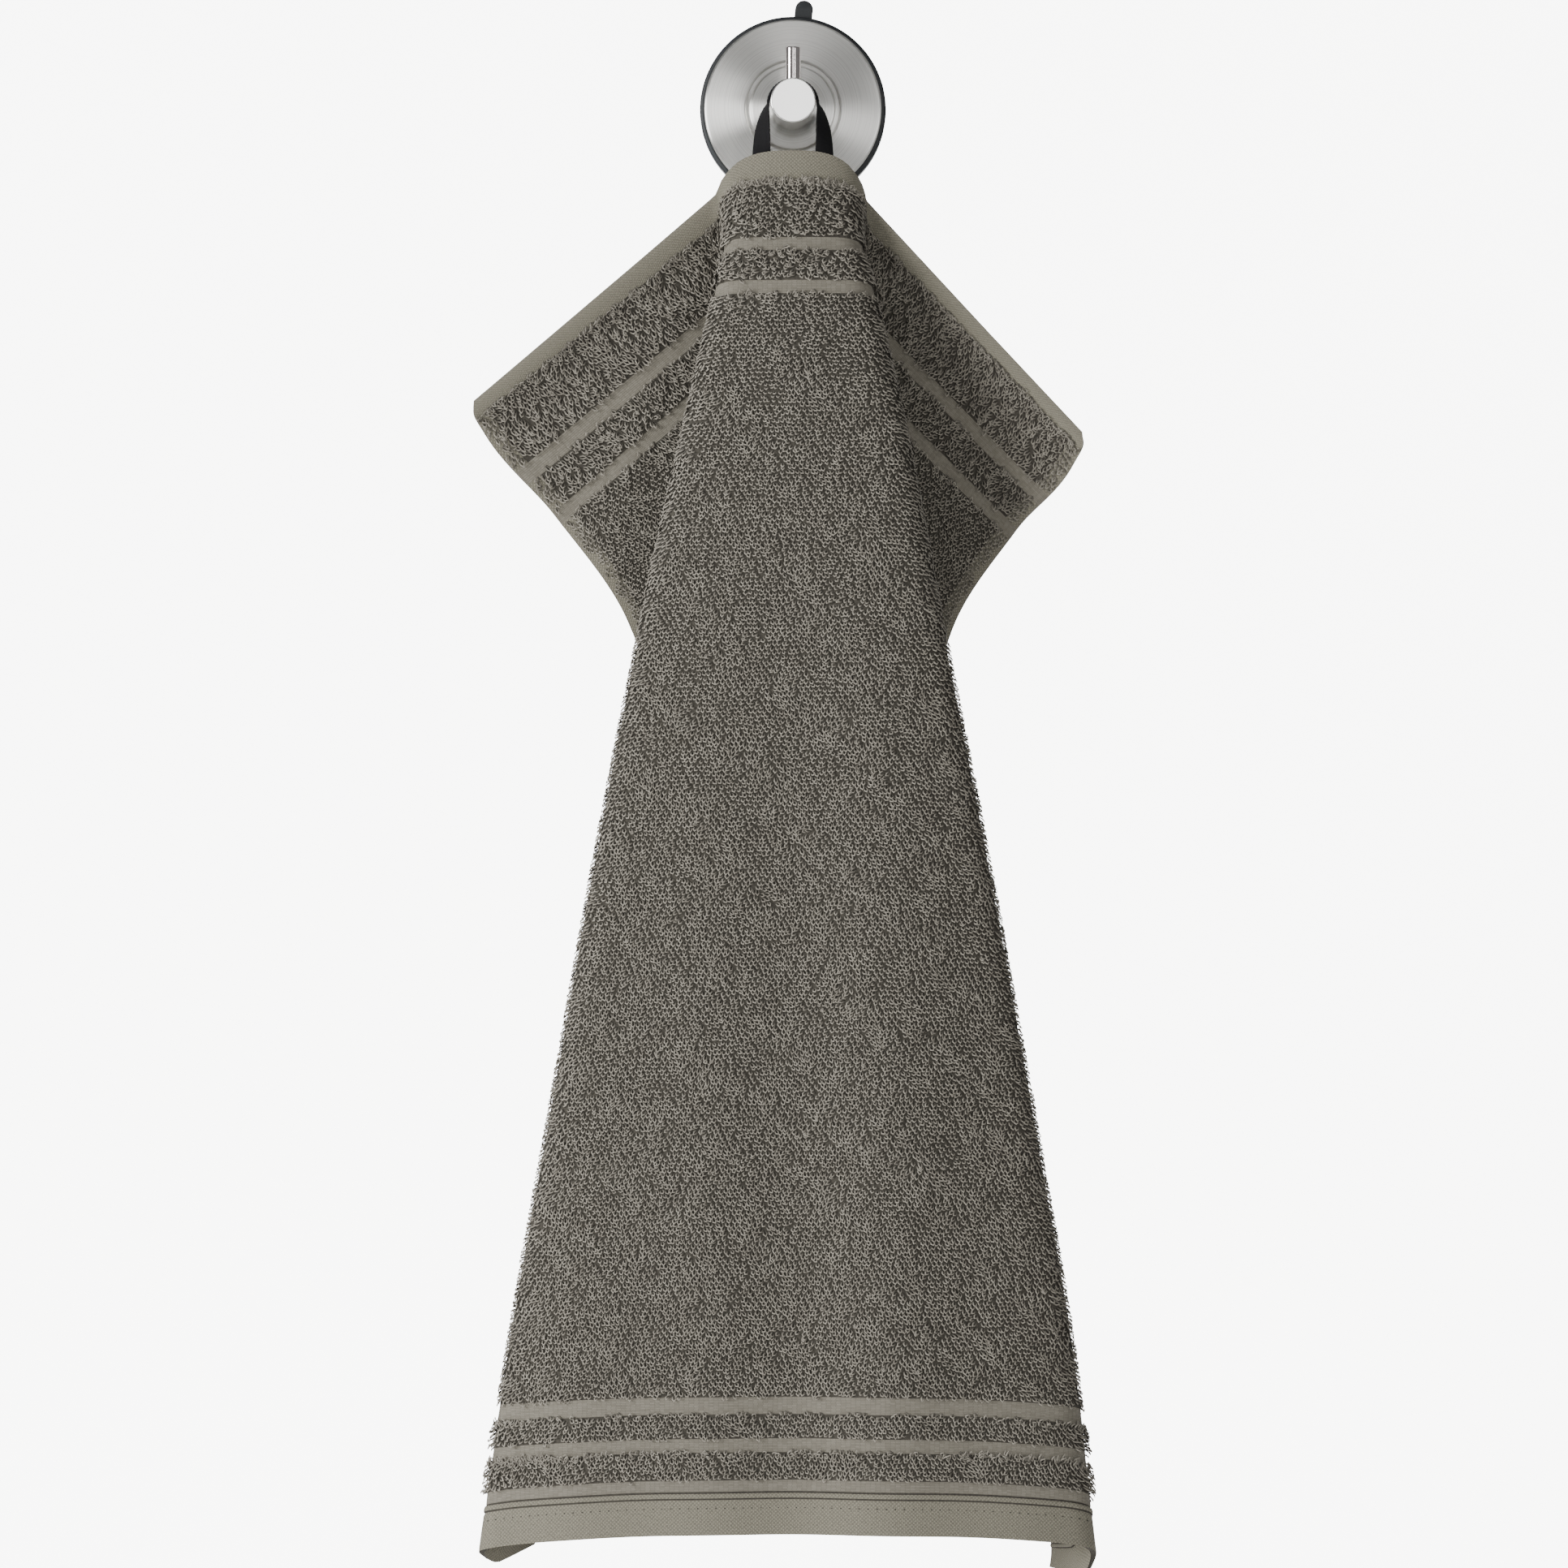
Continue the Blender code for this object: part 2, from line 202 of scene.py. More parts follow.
RIGHT_FOLDS = (
    FoldRow(0, 25, 24, 10, 0, 62, 68, 47),
    FoldRow(20, 23, 82, 17, -2, 4, 56, 46),
    FoldRow(50, 30, 125, 32, -2, 0, 52, 45),
    FoldRow(100, 42, 150, 49, 0, 0, 49, 42),
    FoldRow(170, 56, 160, 58, 8, 1, 46, 42),
    FoldRow(250, 72, 162, 60, 24, 3, 39, 39),
    FoldRow(350, 90, 156, 54, 50, 5, 32, 32),
    FoldRow(430, 103, 134, 44, 80, 8, 28, 28),
    FoldRow(500, 111, 116, 12, 116, 10, 58, 2),
)
WAVES = (
    Wave(1.5, 104, 31, 400),
    Wave(0.9, 57, 12, 480),
    Wave(0.8, 171, 64, 60),
)
BANDS = (
    Band(0, 12, 2.2, Weave.CANVAS),
    Band(33.5, 38.5, 1.8, Weave.FLAT),
    Band(50, 55, 1.8, Weave.FLAT),
    Band(450.6, 456.7, 1.8, Weave.FLAT),
    Band(465.4, 470.4, 1.8, Weave.FLAT),
    Band(480.3, 484.7, 1.8, Weave.FLAT),
    Band(484.7, 487, 2.8, Weave.CORD),
    Band(487, 500, 2.2, Weave.CANVAS),
)
RAISED = (
    Raised(-150, 150, 12.4, 330, 1.3),
    Raised(-24, 24, 12.2, 70, 1.7),
    Raised(-144, 144, 38.9, 150, 1.1),
    Raised(-144, 144, 55.4, 150, 1.1),
    Raised(-110, 112, 457.1, 60, 1.0),
    Raised(88, 113, 457.5, 26, 1.5),
    Raised(-115, -96, 457.4, 22, 1.4),
    Raised(-117, -90, 471.1, 90, 1.8),
    Raised(-92, -40, 470.9, 70, 1.4),
    Raised(-40, 70, 470.8, 80, 1.15),
    Raised(66, 114, 470.9, 75, 1.65),
)
LOOP = (
    LoopPoint(-0.6, 0.0, 0.1, -1.0, 0.0, 0.28),
    LoopPoint(-1.0, 0.5, 0.75, -0.9, 0.3, 0.8),
    LoopPoint(0.0, 0.92, 1.0, 0.0, 1.0, 1.0),
    LoopPoint(1.0, 0.5, 0.75, 0.9, 0.3, 0.8),
    LoopPoint(0.6, 0.0, 0.1, 1.0, 0.0, 0.28),
)
LAMPS = (
    Lamp("key", (-2.1, -1.35, 0.05), 1.1, 76.0),
    Lamp("fill", (1.25, -2.25, 0.0), 0.75, 13.0),
    Lamp("top", (0.0, -2.2, 0.9), 0.5, 3.0),
    Lamp("front", (0.0, -2.7, 0.33), 0.35, 1.7),
)


def linear(colour: str) -> tuple[float, float, float, float]:
    """Turn an sRGB hex colour into linear values.

    Args:
        colour: The colour as "#rrggbb".

    Returns:
        Linear red, green and blue, and full opacity.
    """
    parts = [int(colour[k : k + 2], 16) / 255 for k in (1, 3, 5)]
    red, green, blue = (
        part / 12.92 if part <= 0.04045 else ((part + 0.055) / 1.055) ** 2.4
        for part in parts
    )
    return red, green, blue, 1.0


def ramp(at: Any, middle: float, width: float) -> Any:
    """Rise smoothly from 0 to 1 over a width around a middle.

    Args:
        at: Where to take the value, a number or an array.
        middle: Where the rise is half done.
        width: How wide the rise is.

    Returns:
        The value, in the form of "at".
    """
    t = np.clip((at - middle) / width + 0.5, 0, 1)
    return t * t * (3 - 2 * t)


def smooth_column(rows: Sequence[Any], name: str, at: float) -> float:
    """Read one column of a table of rows, smoothly and without overshoot.

    Args:
        rows: The table, in order of "down".
        name: The column's name.
        at: The distance down, in mm.

    Returns:
        The column's value there.
    """
    x = np.array([row.down for row in rows], float)
    y = np.array([getattr(row, name) for row in rows], float)
    step, slope = np.diff(x), np.diff(y) / np.diff(x)
    product, total = slope[1:] * slope[:-1], slope[1:] + slope[:-1]
    inner = np.where(product > 0, 2 * product / np.where(product > 0, total, 1), 0)
    tangent = np.concatenate([slope[:1], inner, slope[-1:]])
    i = int(np.clip(np.searchsorted(x, at) - 1, 0, len(step) - 1))
    t = (at - x[i]) / step[i]
    start = (2 * t**3 - 3 * t**2 + 1) * y[i] + (t**3 - 2 * t**2 + t) * step[i] * tangent[i]
    end = (3 * t**2 - 2 * t**3) * y[i + 1] + (t**3 - t**2) * step[i] * tangent[i + 1]
    return float(start + end)


def add_node(
    tree: bpy.types.NodeTree, kind: str, inputs: dict[Any, Any] | None = None, **settings: Any
) -> bpy.types.Node:
    """Add a node with its settings and links.

    Args:
        tree: The node tree.
        kind: The node's type.
        inputs: What each input takes, by its name or number: a value, a hex colour, an
            output socket, or a node, for the first of its outputs that is in use.
        **settings: The node's own settings.

    Returns:
        The node.
    """
    made = tree.nodes.new(kind)
    for name, value in settings.items():
        setattr(made, name, value)
    for name, value in (inputs or {}).items():
        if isinstance(value, bpy.types.Node):
            value = next(output for output in value.outputs if output.enabled)
        if isinstance(value, bpy.types.NodeSocket):
            tree.links.new(value, made.inputs[name])
        else:
            made.inputs[name].default_value = linear(value) if isinstance(value, str) else value
    return made


def new_material(name: str) -> tuple[bpy.types.Material, bpy.types.NodeTree]:
    """Make an empty material.

    Args:
        name: The material's name.

    Returns:
        The material and its node tree.
    """
    made = bpy.data.materials.new(name)
    made.use_nodes = True
    made.node_tree.nodes.clear()
    return made, made.node_tree


class Relief(NamedTuple):
    """A fine relief: the node or socket of its height, its strength and its depth in mm."""

    height: Any
    strength: float
    depth: float
    sunk: bool = False


def finish_surface(
    tree: bpy.types.NodeTree, inputs: dict[str, Any], relief: Relief | None = None
) -> None:
    """End a material with its relief, its surface shader and its output.

    Args:
        tree: The material's node tree.
        inputs: What each of the shader's inputs takes, as in add_node.
        relief: The surface's fine relief, if it has one.
    """
    if relief:
        bump = {
            "Height": relief.height,
            "Strength": relief.strength,
            "Distance": relief.depth * MM,
        }
        normal = add_node(tree, "ShaderNodeBump", bump, invert=relief.sunk)
        inputs = inputs | {"Normal": normal}
    shader = add_node(tree, "ShaderNodeBsdfPrincipled", inputs)
    add_node(tree, "ShaderNodeOutputMaterial", {"Surface": shader})


@dataclass(frozen=True)
class CottonYarn:
    """Soft twisted cotton: matt, a slight bloom, painted shade where it goes into the cloth and at
    its edges.
    """

    name: str = "cotton_yarn"
    # painted shade: the yarn's colour deep down where it goes into the cloth
    root: str = "#25231f"
    crest: str = "#908a7f"
    pale: str = "#ada79a"
    edge_shade: float = 0.4
    twist: float = 0.45
    roughness: float = 0.95

    def material(self) -> bpy.types.Material:
        """Make the material.

        It reads the "yarn" attribute: how far off the yarn's middle a point is, how far it has
        risen out of the cloth, and the tone of its loop; the first two set its painted shade.

        Returns:
            The material.
        """
        made, tree = new_material(self.name)
        place = add_node(tree, "ShaderNodeTexCoord").outputs["Object"]
        yarn = add_node(tree, "ShaderNodeAttribute", attribute_name="yarn").outputs["Vector"]
        side, rise, tone = add_node(tree, "ShaderNodeSeparateXYZ", {0: yarn}).outputs
        # painted shade: darker towards the yarn's edges and towards its root
        bend = add_node(tree, "ShaderNodeMath", {0: side, 1: side}, operation="MULTIPLY")
        edge = add_node(
            tree, "ShaderNodeMath", {0: bend, 1: -self.edge_shade, 2: 1.0}, operation="MULTIPLY_ADD"
        )
        share = add_node(tree, "ShaderNodeMath", {0: edge, 1: rise}, operation="MULTIPLY")
        crest = add_node(
            tree, "ShaderNodeMix", {0: tone, 6: self.crest, 7: self.pale}, data_type="RGBA"
        )
        colour = add_node(
            tree, "ShaderNodeMix", {0: share, 6: self.root, 7: crest}, data_type="RGBA"
        )
        plies = add_node(
            tree, "ShaderNodeTexNoise", {"Vector": place, "Scale": 1 / (self.twist * MM)}
        )
        height = add_node(
            tree, "ShaderNodeMath", {0: bend, 1: -1.0, 2: plies}, operation="MULTIPLY_ADD"
        )
        surface = {
            "Base Color": colour,
            "Roughness": self.roughness,
            "Sheen Weight": 0.1,
            "Sheen Roughness": 0.5,
        }
        finish_surface(tree, surface, Relief(height, 0.6, 0.15))
        return made


@dataclass(frozen=True)
class TerryGround:
    """The cloth under the loops: the same cotton, in their shade."""

    name: str = "terry_ground"
    dark: str = "#322f2a"
    light: str = "#565249"
    pick: float = 1.1
    roughness: float = 0.97

    def material(self) -> bpy.types.Material:
        """Make the material.

        Returns:
            The material.
        """
        made, tree = new_material(self.name)
        place = add_node(tree, "ShaderNodeTexCoord").outputs["Object"]
        grain = add_node(
            tree, "ShaderNodeTexNoise", {"Vector": place, "Scale": 1 / (self.pick * MM)}
        )
        colour = add_node(
            tree, "ShaderNodeMix", {0: grain, 6: self.dark, 7: self.light}, data_type="RGBA"
        )
        surface = {"Base Color": colour, "Roughness": self.roughness}
        finish_surface(tree, surface, Relief(grain, 0.8, 0.4))
        return made


@dataclass(frozen=True)
class FlatWeave:
    """Cotton woven flat: fine threads across, with a faint upright line every 1.75 mm."""

    name: str = "flat_weave"
    thread: float = 0.6
    upright: float = 1.75
    wander: tuple[float, float, float] = (0.5, 0.25, 0.0)
    light: str = "#888377"
    mid: str = "#7b766a"
    groove: str = "#4f4b42"
    roughness: float = 0.85

    def material(self) -> bpy.types.Material:
        """Make the material, which reads the flat cloth's own mm.

        Returns:
            The material.
        """
        made, tree = new_material(self.name)
        flat = add_node(tree, "ShaderNodeUVMap", uv_map="flat_mm")
        noise = add_node(tree, "ShaderNodeTexNoise", {"Vector": flat, "Scale": 0.35})
        shift = add_node(
            tree,
            "ShaderNodeVectorMath",
            {0: noise.outputs["Color"], 1: self.wander},
            operation="MULTIPLY",
        )
        moved = add_node(tree, "ShaderNodeVectorMath", {0: flat, 1: shift}, operation="ADD")
        pattern = {
            "Vector": moved,
            "Color1": self.light,
            "Color2": self.mid,
            "Mortar": self.groove,
            "Scale": 1.0,
            "Mortar Size": 0.05,
            "Mortar Smooth": 0.9,
            "Brick Width": self.upright,
            "Row Height": self.thread,
        }
        threads = add_node(tree, "ShaderNodeTexBrick", pattern, offset=0.12)
        surface = {"Base Color": threads, "Roughness": self.roughness, "Sheen Weight": 0.05}
        finish_surface(tree, surface, Relief(threads.outputs["Fac"], 0.35, 0.12, sunk=True))
        return made


@dataclass(frozen=True)
class HemCanvas:
    """Plain woven cotton, turned over and pressed: smooth, with an even fine grain."""

    name: str = "hem_canvas"
    thread: float = 0.95
    contrast: float = 0.8
    light: str = "#918c7c"
    dark: str = "#48463e"
    roughness: float = 0.88

    def material(self) -> bpy.types.Material:
        """Make the material, its threads drawn a little coarser than real ones so they show.

        Returns:
            The material.
        """
        made, tree = new_material(self.name)
        flat = add_node(tree, "ShaderNodeUVMap", uv_map="flat_mm")
        slanted = add_node(
            tree, "ShaderNodeMapping", {"Vector": flat, "Rotation": (0.0, 0.0, math.pi / 4)}
        )
        pattern = {
            "Vector": slanted,
            "Scale": math.pi / 10 / self.thread,
            "Distortion": 1.0,
            "Detail Scale": 3.0,
        }
        warp, weft = (
            add_node(tree, "ShaderNodeTexWave", pattern, bands_direction=way).outputs["Fac"]
            for way in ("X", "Y")
        )
        grain = add_node(tree, "ShaderNodeMath", {0: warp, 1: weft}, operation="MULTIPLY")
        slub = add_node(tree, "ShaderNodeTexNoise", {"Vector": flat, "Scale": 1.3, "Detail": 4})
        share = add_node(
            tree, "ShaderNodeMath", {0: grain, 1: self.contrast, 2: slub}, operation="MULTIPLY_ADD"
        )
        colour = add_node(
            tree, "ShaderNodeMix", {0: share, 6: self.dark, 7: self.light}, data_type="RGBA"
        )
        surface = {"Base Color": colour, "Roughness": self.roughness, "Sheen Weight": 0.05}
        finish_surface(tree, surface, Relief(grain, 0.6, 0.2))
        return made


@dataclass(frozen=True)
class PlainFinish:
    """A matt finish with a fine grain: sewing thread, tape yarn or rubber."""

    name: str
    dark: str
    light: str
    grain: float
    roughness: float
    depth: float = 0.05
    specular: float = 0.5

    def material(self) -> bpy.types.Material:
        """Make the material.

        Returns:
            The material.
        """
        made, tree = new_material(self.name)
        place = add_node(tree, "ShaderNodeTexCoord").outputs["Object"]
        grain = add_node(
            tree,
            "ShaderNodeTexNoise",
            {"Vector": place, "Scale": 1 / (self.grain * MM), "Detail": 3},
        )
        colour = add_node(
            tree, "ShaderNodeMix", {0: grain, 6: self.dark, 7: self.light}, data_type="RGBA"
        )
        surface = {
            "Base Color": colour,
            "Roughness": self.roughness,
            "Specular IOR Level": self.specular,
        }
        finish_surface(tree, surface, Relief(grain, 0.5, self.depth))
        return made


@dataclass(frozen=True)
class StainlessSteel:
    """Stainless steel, brushed round its middle or polished: bright, with fine rings."""

    name: str
    light: str
    dark: str
    ring: float
    roughness: float
    spread: float
    anisotropy: float = 0.0

    def material(self) -> bpy.types.Material:
        """Make the material; the rings are drawn coarser than the grit so that they show.

        Returns:
            The material.
        """
        made, tree = new_material(self.name)
        place = add_node(tree, "ShaderNodeTexCoord").outputs["Object"]
        face = add_node(
            tree, "ShaderNodeVectorMath", {0: place, 1: (1.0, 0.0, 1.0)}, operation="MULTIPLY"
        )
        radius = add_node(tree, "ShaderNodeVectorMath", {0: face}, operation="LENGTH")
        rings = add_node(
            tree,
            "ShaderNodeTexNoise",
            {"W": radius, "Scale": 1 / (self.ring * MM), "Detail": 4},
            noise_dimensions="1D",
        )
        colour = add_node(
            tree, "ShaderNodeMix", {0: rings, 6: self.dark, 7: self.light}, data_type="RGBA"
        )
        half = self.spread / 2
        rough = add_node(
            tree,
            "ShaderNodeMapRange",
            {"Value": rings, "To Min": self.roughness - half, "To Max": self.roughness + half},
        )
        tangent = add_node(tree, "ShaderNodeTangent", direction_type="RADIAL", axis="Y")
        surface = {
            "Base Color": colour,
            "Metallic": 1.0,
            "Roughness": rough,
            "Anisotropic": self.anisotropy,
            "Anisotropic Rotation": 0.25,
            "Tangent": tangent,
        }
        finish_surface(tree, surface)
        return made


def new_piece(
    name: str,
    points: np.ndarray,
    faces: np.ndarray | Sequence[Sequence[int]],
    finishes: Sequence[bpy.types.Material],
    smooth: float = 60.0,
) -> bpy.types.Object:
    """Make a mesh piece that rides on the part's body.

    Args:
        name: The piece's name.
        points: Its points in metres, one row each.
        faces: The numbers of each face's points.
        finishes: Its materials, the first of which it takes everywhere.
        smooth: The angle in degrees below which an edge is shaded smooth.

    Returns:
        The piece.
    """
    mesh = bpy.data.meshes.new(name)
    mesh.from_pydata(points.tolist(), [], faces if isinstance(faces, list) else faces.tolist())
    made = bpy.data.objects.new(name, mesh)
    bpy.context.scene.collection.objects.link(made)
    for finish in finishes:
        mesh.materials.append(finish)
    mesh.shade_smooth()
    mesh.set_sharp_from_angle(angle=math.radians(smooth))
    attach(made, BODY)
    LOG.info("%s: %d faces", name, len(mesh.polygons))
    return made


def grid_faces(rows: int, columns: int) -> np.ndarray:
    """Number the faces of a grid of points that are counted along its rows.

    Args:
        rows: How many rows of points.
        columns: How many points in a row.

    Returns:
        The numbers of each face's four points.
    """
    corner = np.arange(rows - 1)[:, None] * columns + np.arange(columns - 1)[None, :]
    corner = corner.ravel()
    return np.stack([corner, corner + 1, corner + columns + 1, corner + columns], axis=1)


def sheet_faces(rows: int, columns: int) -> np.ndarray:
    """Number the faces of a closed sheet: a front grid, a back grid and the rim between.

    Args:
        rows: How many rows of points each grid has.
        columns: How many points in a row.

    Returns:
        The numbers of each face's four points; the front grid's points come first.
    """
    count = rows * columns
    faces = grid_faces(rows, columns)
    rim = np.concatenate(
        [
            np.arange(columns),
            np.arange(2, rows + 1) * columns - 1,
            count - 2 - np.arange(columns - 1),
            np.arange(rows - 2, -1, -1) * columns,
        ]
    )
    wall = np.stack([rim[1:], rim[:-1], rim[:-1] + count, rim[1:] + count], axis=1)
    return np.concatenate([faces[:, ::-1], faces + count, wall])


@dataclass
class Drape:
    """Where each point of the flat towel lies once it hangs, in mm."""

    width: float = 300.0
    length: float = 500.0
    hem_top: float = -17.6
    ridge_bend: float = 9.0
    ridge_least: float = 8.0
    fold_bend: float = 8.0
    fold_least: float = 6.0
    settle: float = 1.3
    front_crown: float = 14.0
    step: float = 0.5
    surface: np.ndarray = field(init=False)
    normals: np.ndarray = field(init=False)

    def __post_init__(self) -> None:
        """Hang every thread once, and keep the surface and its normals."""
        down = np.arange(0, self.length + self.step, self.step * 2)
        depth = np.array([smooth_column(DEPTHS, "depth", at) for at in down])
        fall = np.sqrt(1 - np.gradient(depth, down) ** 2)
        sunk = np.concatenate([[0], np.cumsum((fall[1:] + fall[:-1]) / 2 * np.diff(down))])
        across = np.arange(-self.width / 2, self.width / 2 + self.step / 2, self.step)
        rows = []
        for at in down:
            left, right = self.weft(at, -1), self.weft(at, 1)
            rows.append(np.concatenate([left[:0:-1], right]))
        surface = np.array(rows)
        surface[:, :, 1] -= depth[:, None]
        surface[:, :, 2] += self.hem_top - sunk[:, None]
        for wave in WAVES:
            size = wave.lift * ramp(down, wave.grown / 2, wave.grown)
            turn = np.sin(2 * math.pi * (across + wave.start) / wave.length)
            surface[:, :, 1] += size[:, None] * turn[None, :]
        facing = np.cross(np.gradient(surface, axis=0), np.gradient(surface, axis=1))
        self.surface = surface
        self.normals = facing / np.linalg.norm(facing, axis=2, keepdims=True)

    def weft(self, down: float, side: int) -> np.ndarray:
        """Follow half a weft thread from the middle of the towel outwards.

        Args:
            down: Distance below the upper hem, in mm.
            side: 1 for the right half and -1 for the left.

        Returns:
            A point for each step along the thread, from the thread's middle.
        """
        rows = RIGHT_FOLDS if side > 0 else LEFT_FOLDS
        at = FoldRow(*(smooth_column(rows, name, down) for name in FoldRow._fields))
        across = np.arange(0, self.width / 2 + self.step / 2, self.step)
        turn, back = math.radians(at.turn), math.radians(at.turn - at.open)
        ridge_wide = min(max(turn * self.ridge_bend, self.ridge_least), 1.5 * at.ridge)
        fold_wide = min(max(back * self.fold_bend, self.fold_least), 1.3 * at.fold + 4.0)
        past_ridge = ramp(across, at.ridge, ridge_wide)
        past_fold = ramp(across, at.ridge + at.fold, fold_wide)
        front = np.clip(across / at.ridge, 0, 1) * (1 - past_ridge)
        heading = math.radians(self.front_crown) * front + turn * past_ridge - back * past_fold
        sinking = ramp(across, at.ridge, self.settle * ridge_wide)
        settling = ramp(across, at.ridge + at.fold, self.settle * fold_wide)
        dip = at.sag * front**2 + at.droop * sinking + (at.flap - at.droop) * settling
        dip = np.radians(dip)
        path = [
            side * np.cos(heading) * np.cos(dip),
            np.sin(heading) * np.cos(dip),
            -np.sin(dip),
        ]
        path = np.stack(path, axis=1)
        points = np.cumsum((path[1:] + path[:-1]) / 2 * self.step, axis=0)
        return np.concatenate([[[0.0, 0.0, 0.0]], points])

    def place(self, across: Any, down: Any, lift: Any = 0.0) -> np.ndarray:
        """Hang points of the flat towel.

        Args:
            across: Distance right of the middle, in mm.
            down: Distance below the upper hem, in mm.
            lift: Distance off the middle of the cloth, towards its front, in mm.

        Returns:
            The points in metres, with x, y and z along the last axis.
        """
        across, down, lift = np.broadcast_arrays(
            np.asarray(across, float), np.asarray(down, float), np.asarray(lift, float)
        )
        rows, columns = self.surface.shape[:2]
        row = np.clip(down / (2 * self.step), 0, rows - 1.001)
        column = np.clip((across + self.width / 2) / self.step, 0, columns - 1.001)
        i, j = row.astype(int), column.astype(int)
        down_share, across_share = (row - i)[..., None], (column - j)[..., None]

        def between(values: np.ndarray) -> np.ndarray:
            """Read values at the points, linear between their rows and columns.

            Args:
                values: A value or vector for each row and column of the surface.

            Returns:
                What it is at each point.
            """
            low = values[i, j] * (1 - across_share) + values[i, j + 1] * across_share
            high = values[i + 1, j] * (1 - across_share) + values[i + 1, j + 1] * across_share
            return low * (1 - down_share) + high * down_share

        return (between(self.surface) + between(self.normals) * lift[..., None]) * MM


@dataclass(frozen=True)
class Drift:
    """Slow uneven waves over the flat cloth, always the same for a seed.

    "size" is their length in mm, and the value mostly stays within "swing" of 0.
    """

    seed: int
    size: float
    swing: float
    waves: int = 8

    def at(self, across: np.ndarray, down: np.ndarray) -> np.ndarray:
        """Read the waves.

        Args:
            across: Distances right of the middle, in mm.
            down: Distances below the upper hem, in mm.

        Returns:
            The value at each point.
        """
        chance = np.random.default_rng(self.seed)
        total = np.zeros(np.broadcast(across, down).shape)
        for _ in range(self.waves):
            angle, start = chance.uniform(0, 2 * math.pi, 2)
            length = self.size * chance.uniform(0.6, 1.8)
            run = across * math.cos(angle) + down * math.sin(angle)
            total += np.sin(2 * math.pi * run / length + start)
        return total / math.sqrt(self.waves) * self.swing


class Spots(NamedTuple):
    """Where loops stand and how each of them lies.

    "across" and "down" are mm on the flat cloth, "hang" is the angle in radians from
    hanging down, and "size" and "rise" are shares of a usual loop's.
    """

    across: np.ndarray
    down: np.ndarray
    hang: np.ndarray
    size: np.ndarray
    rise: np.ndarray


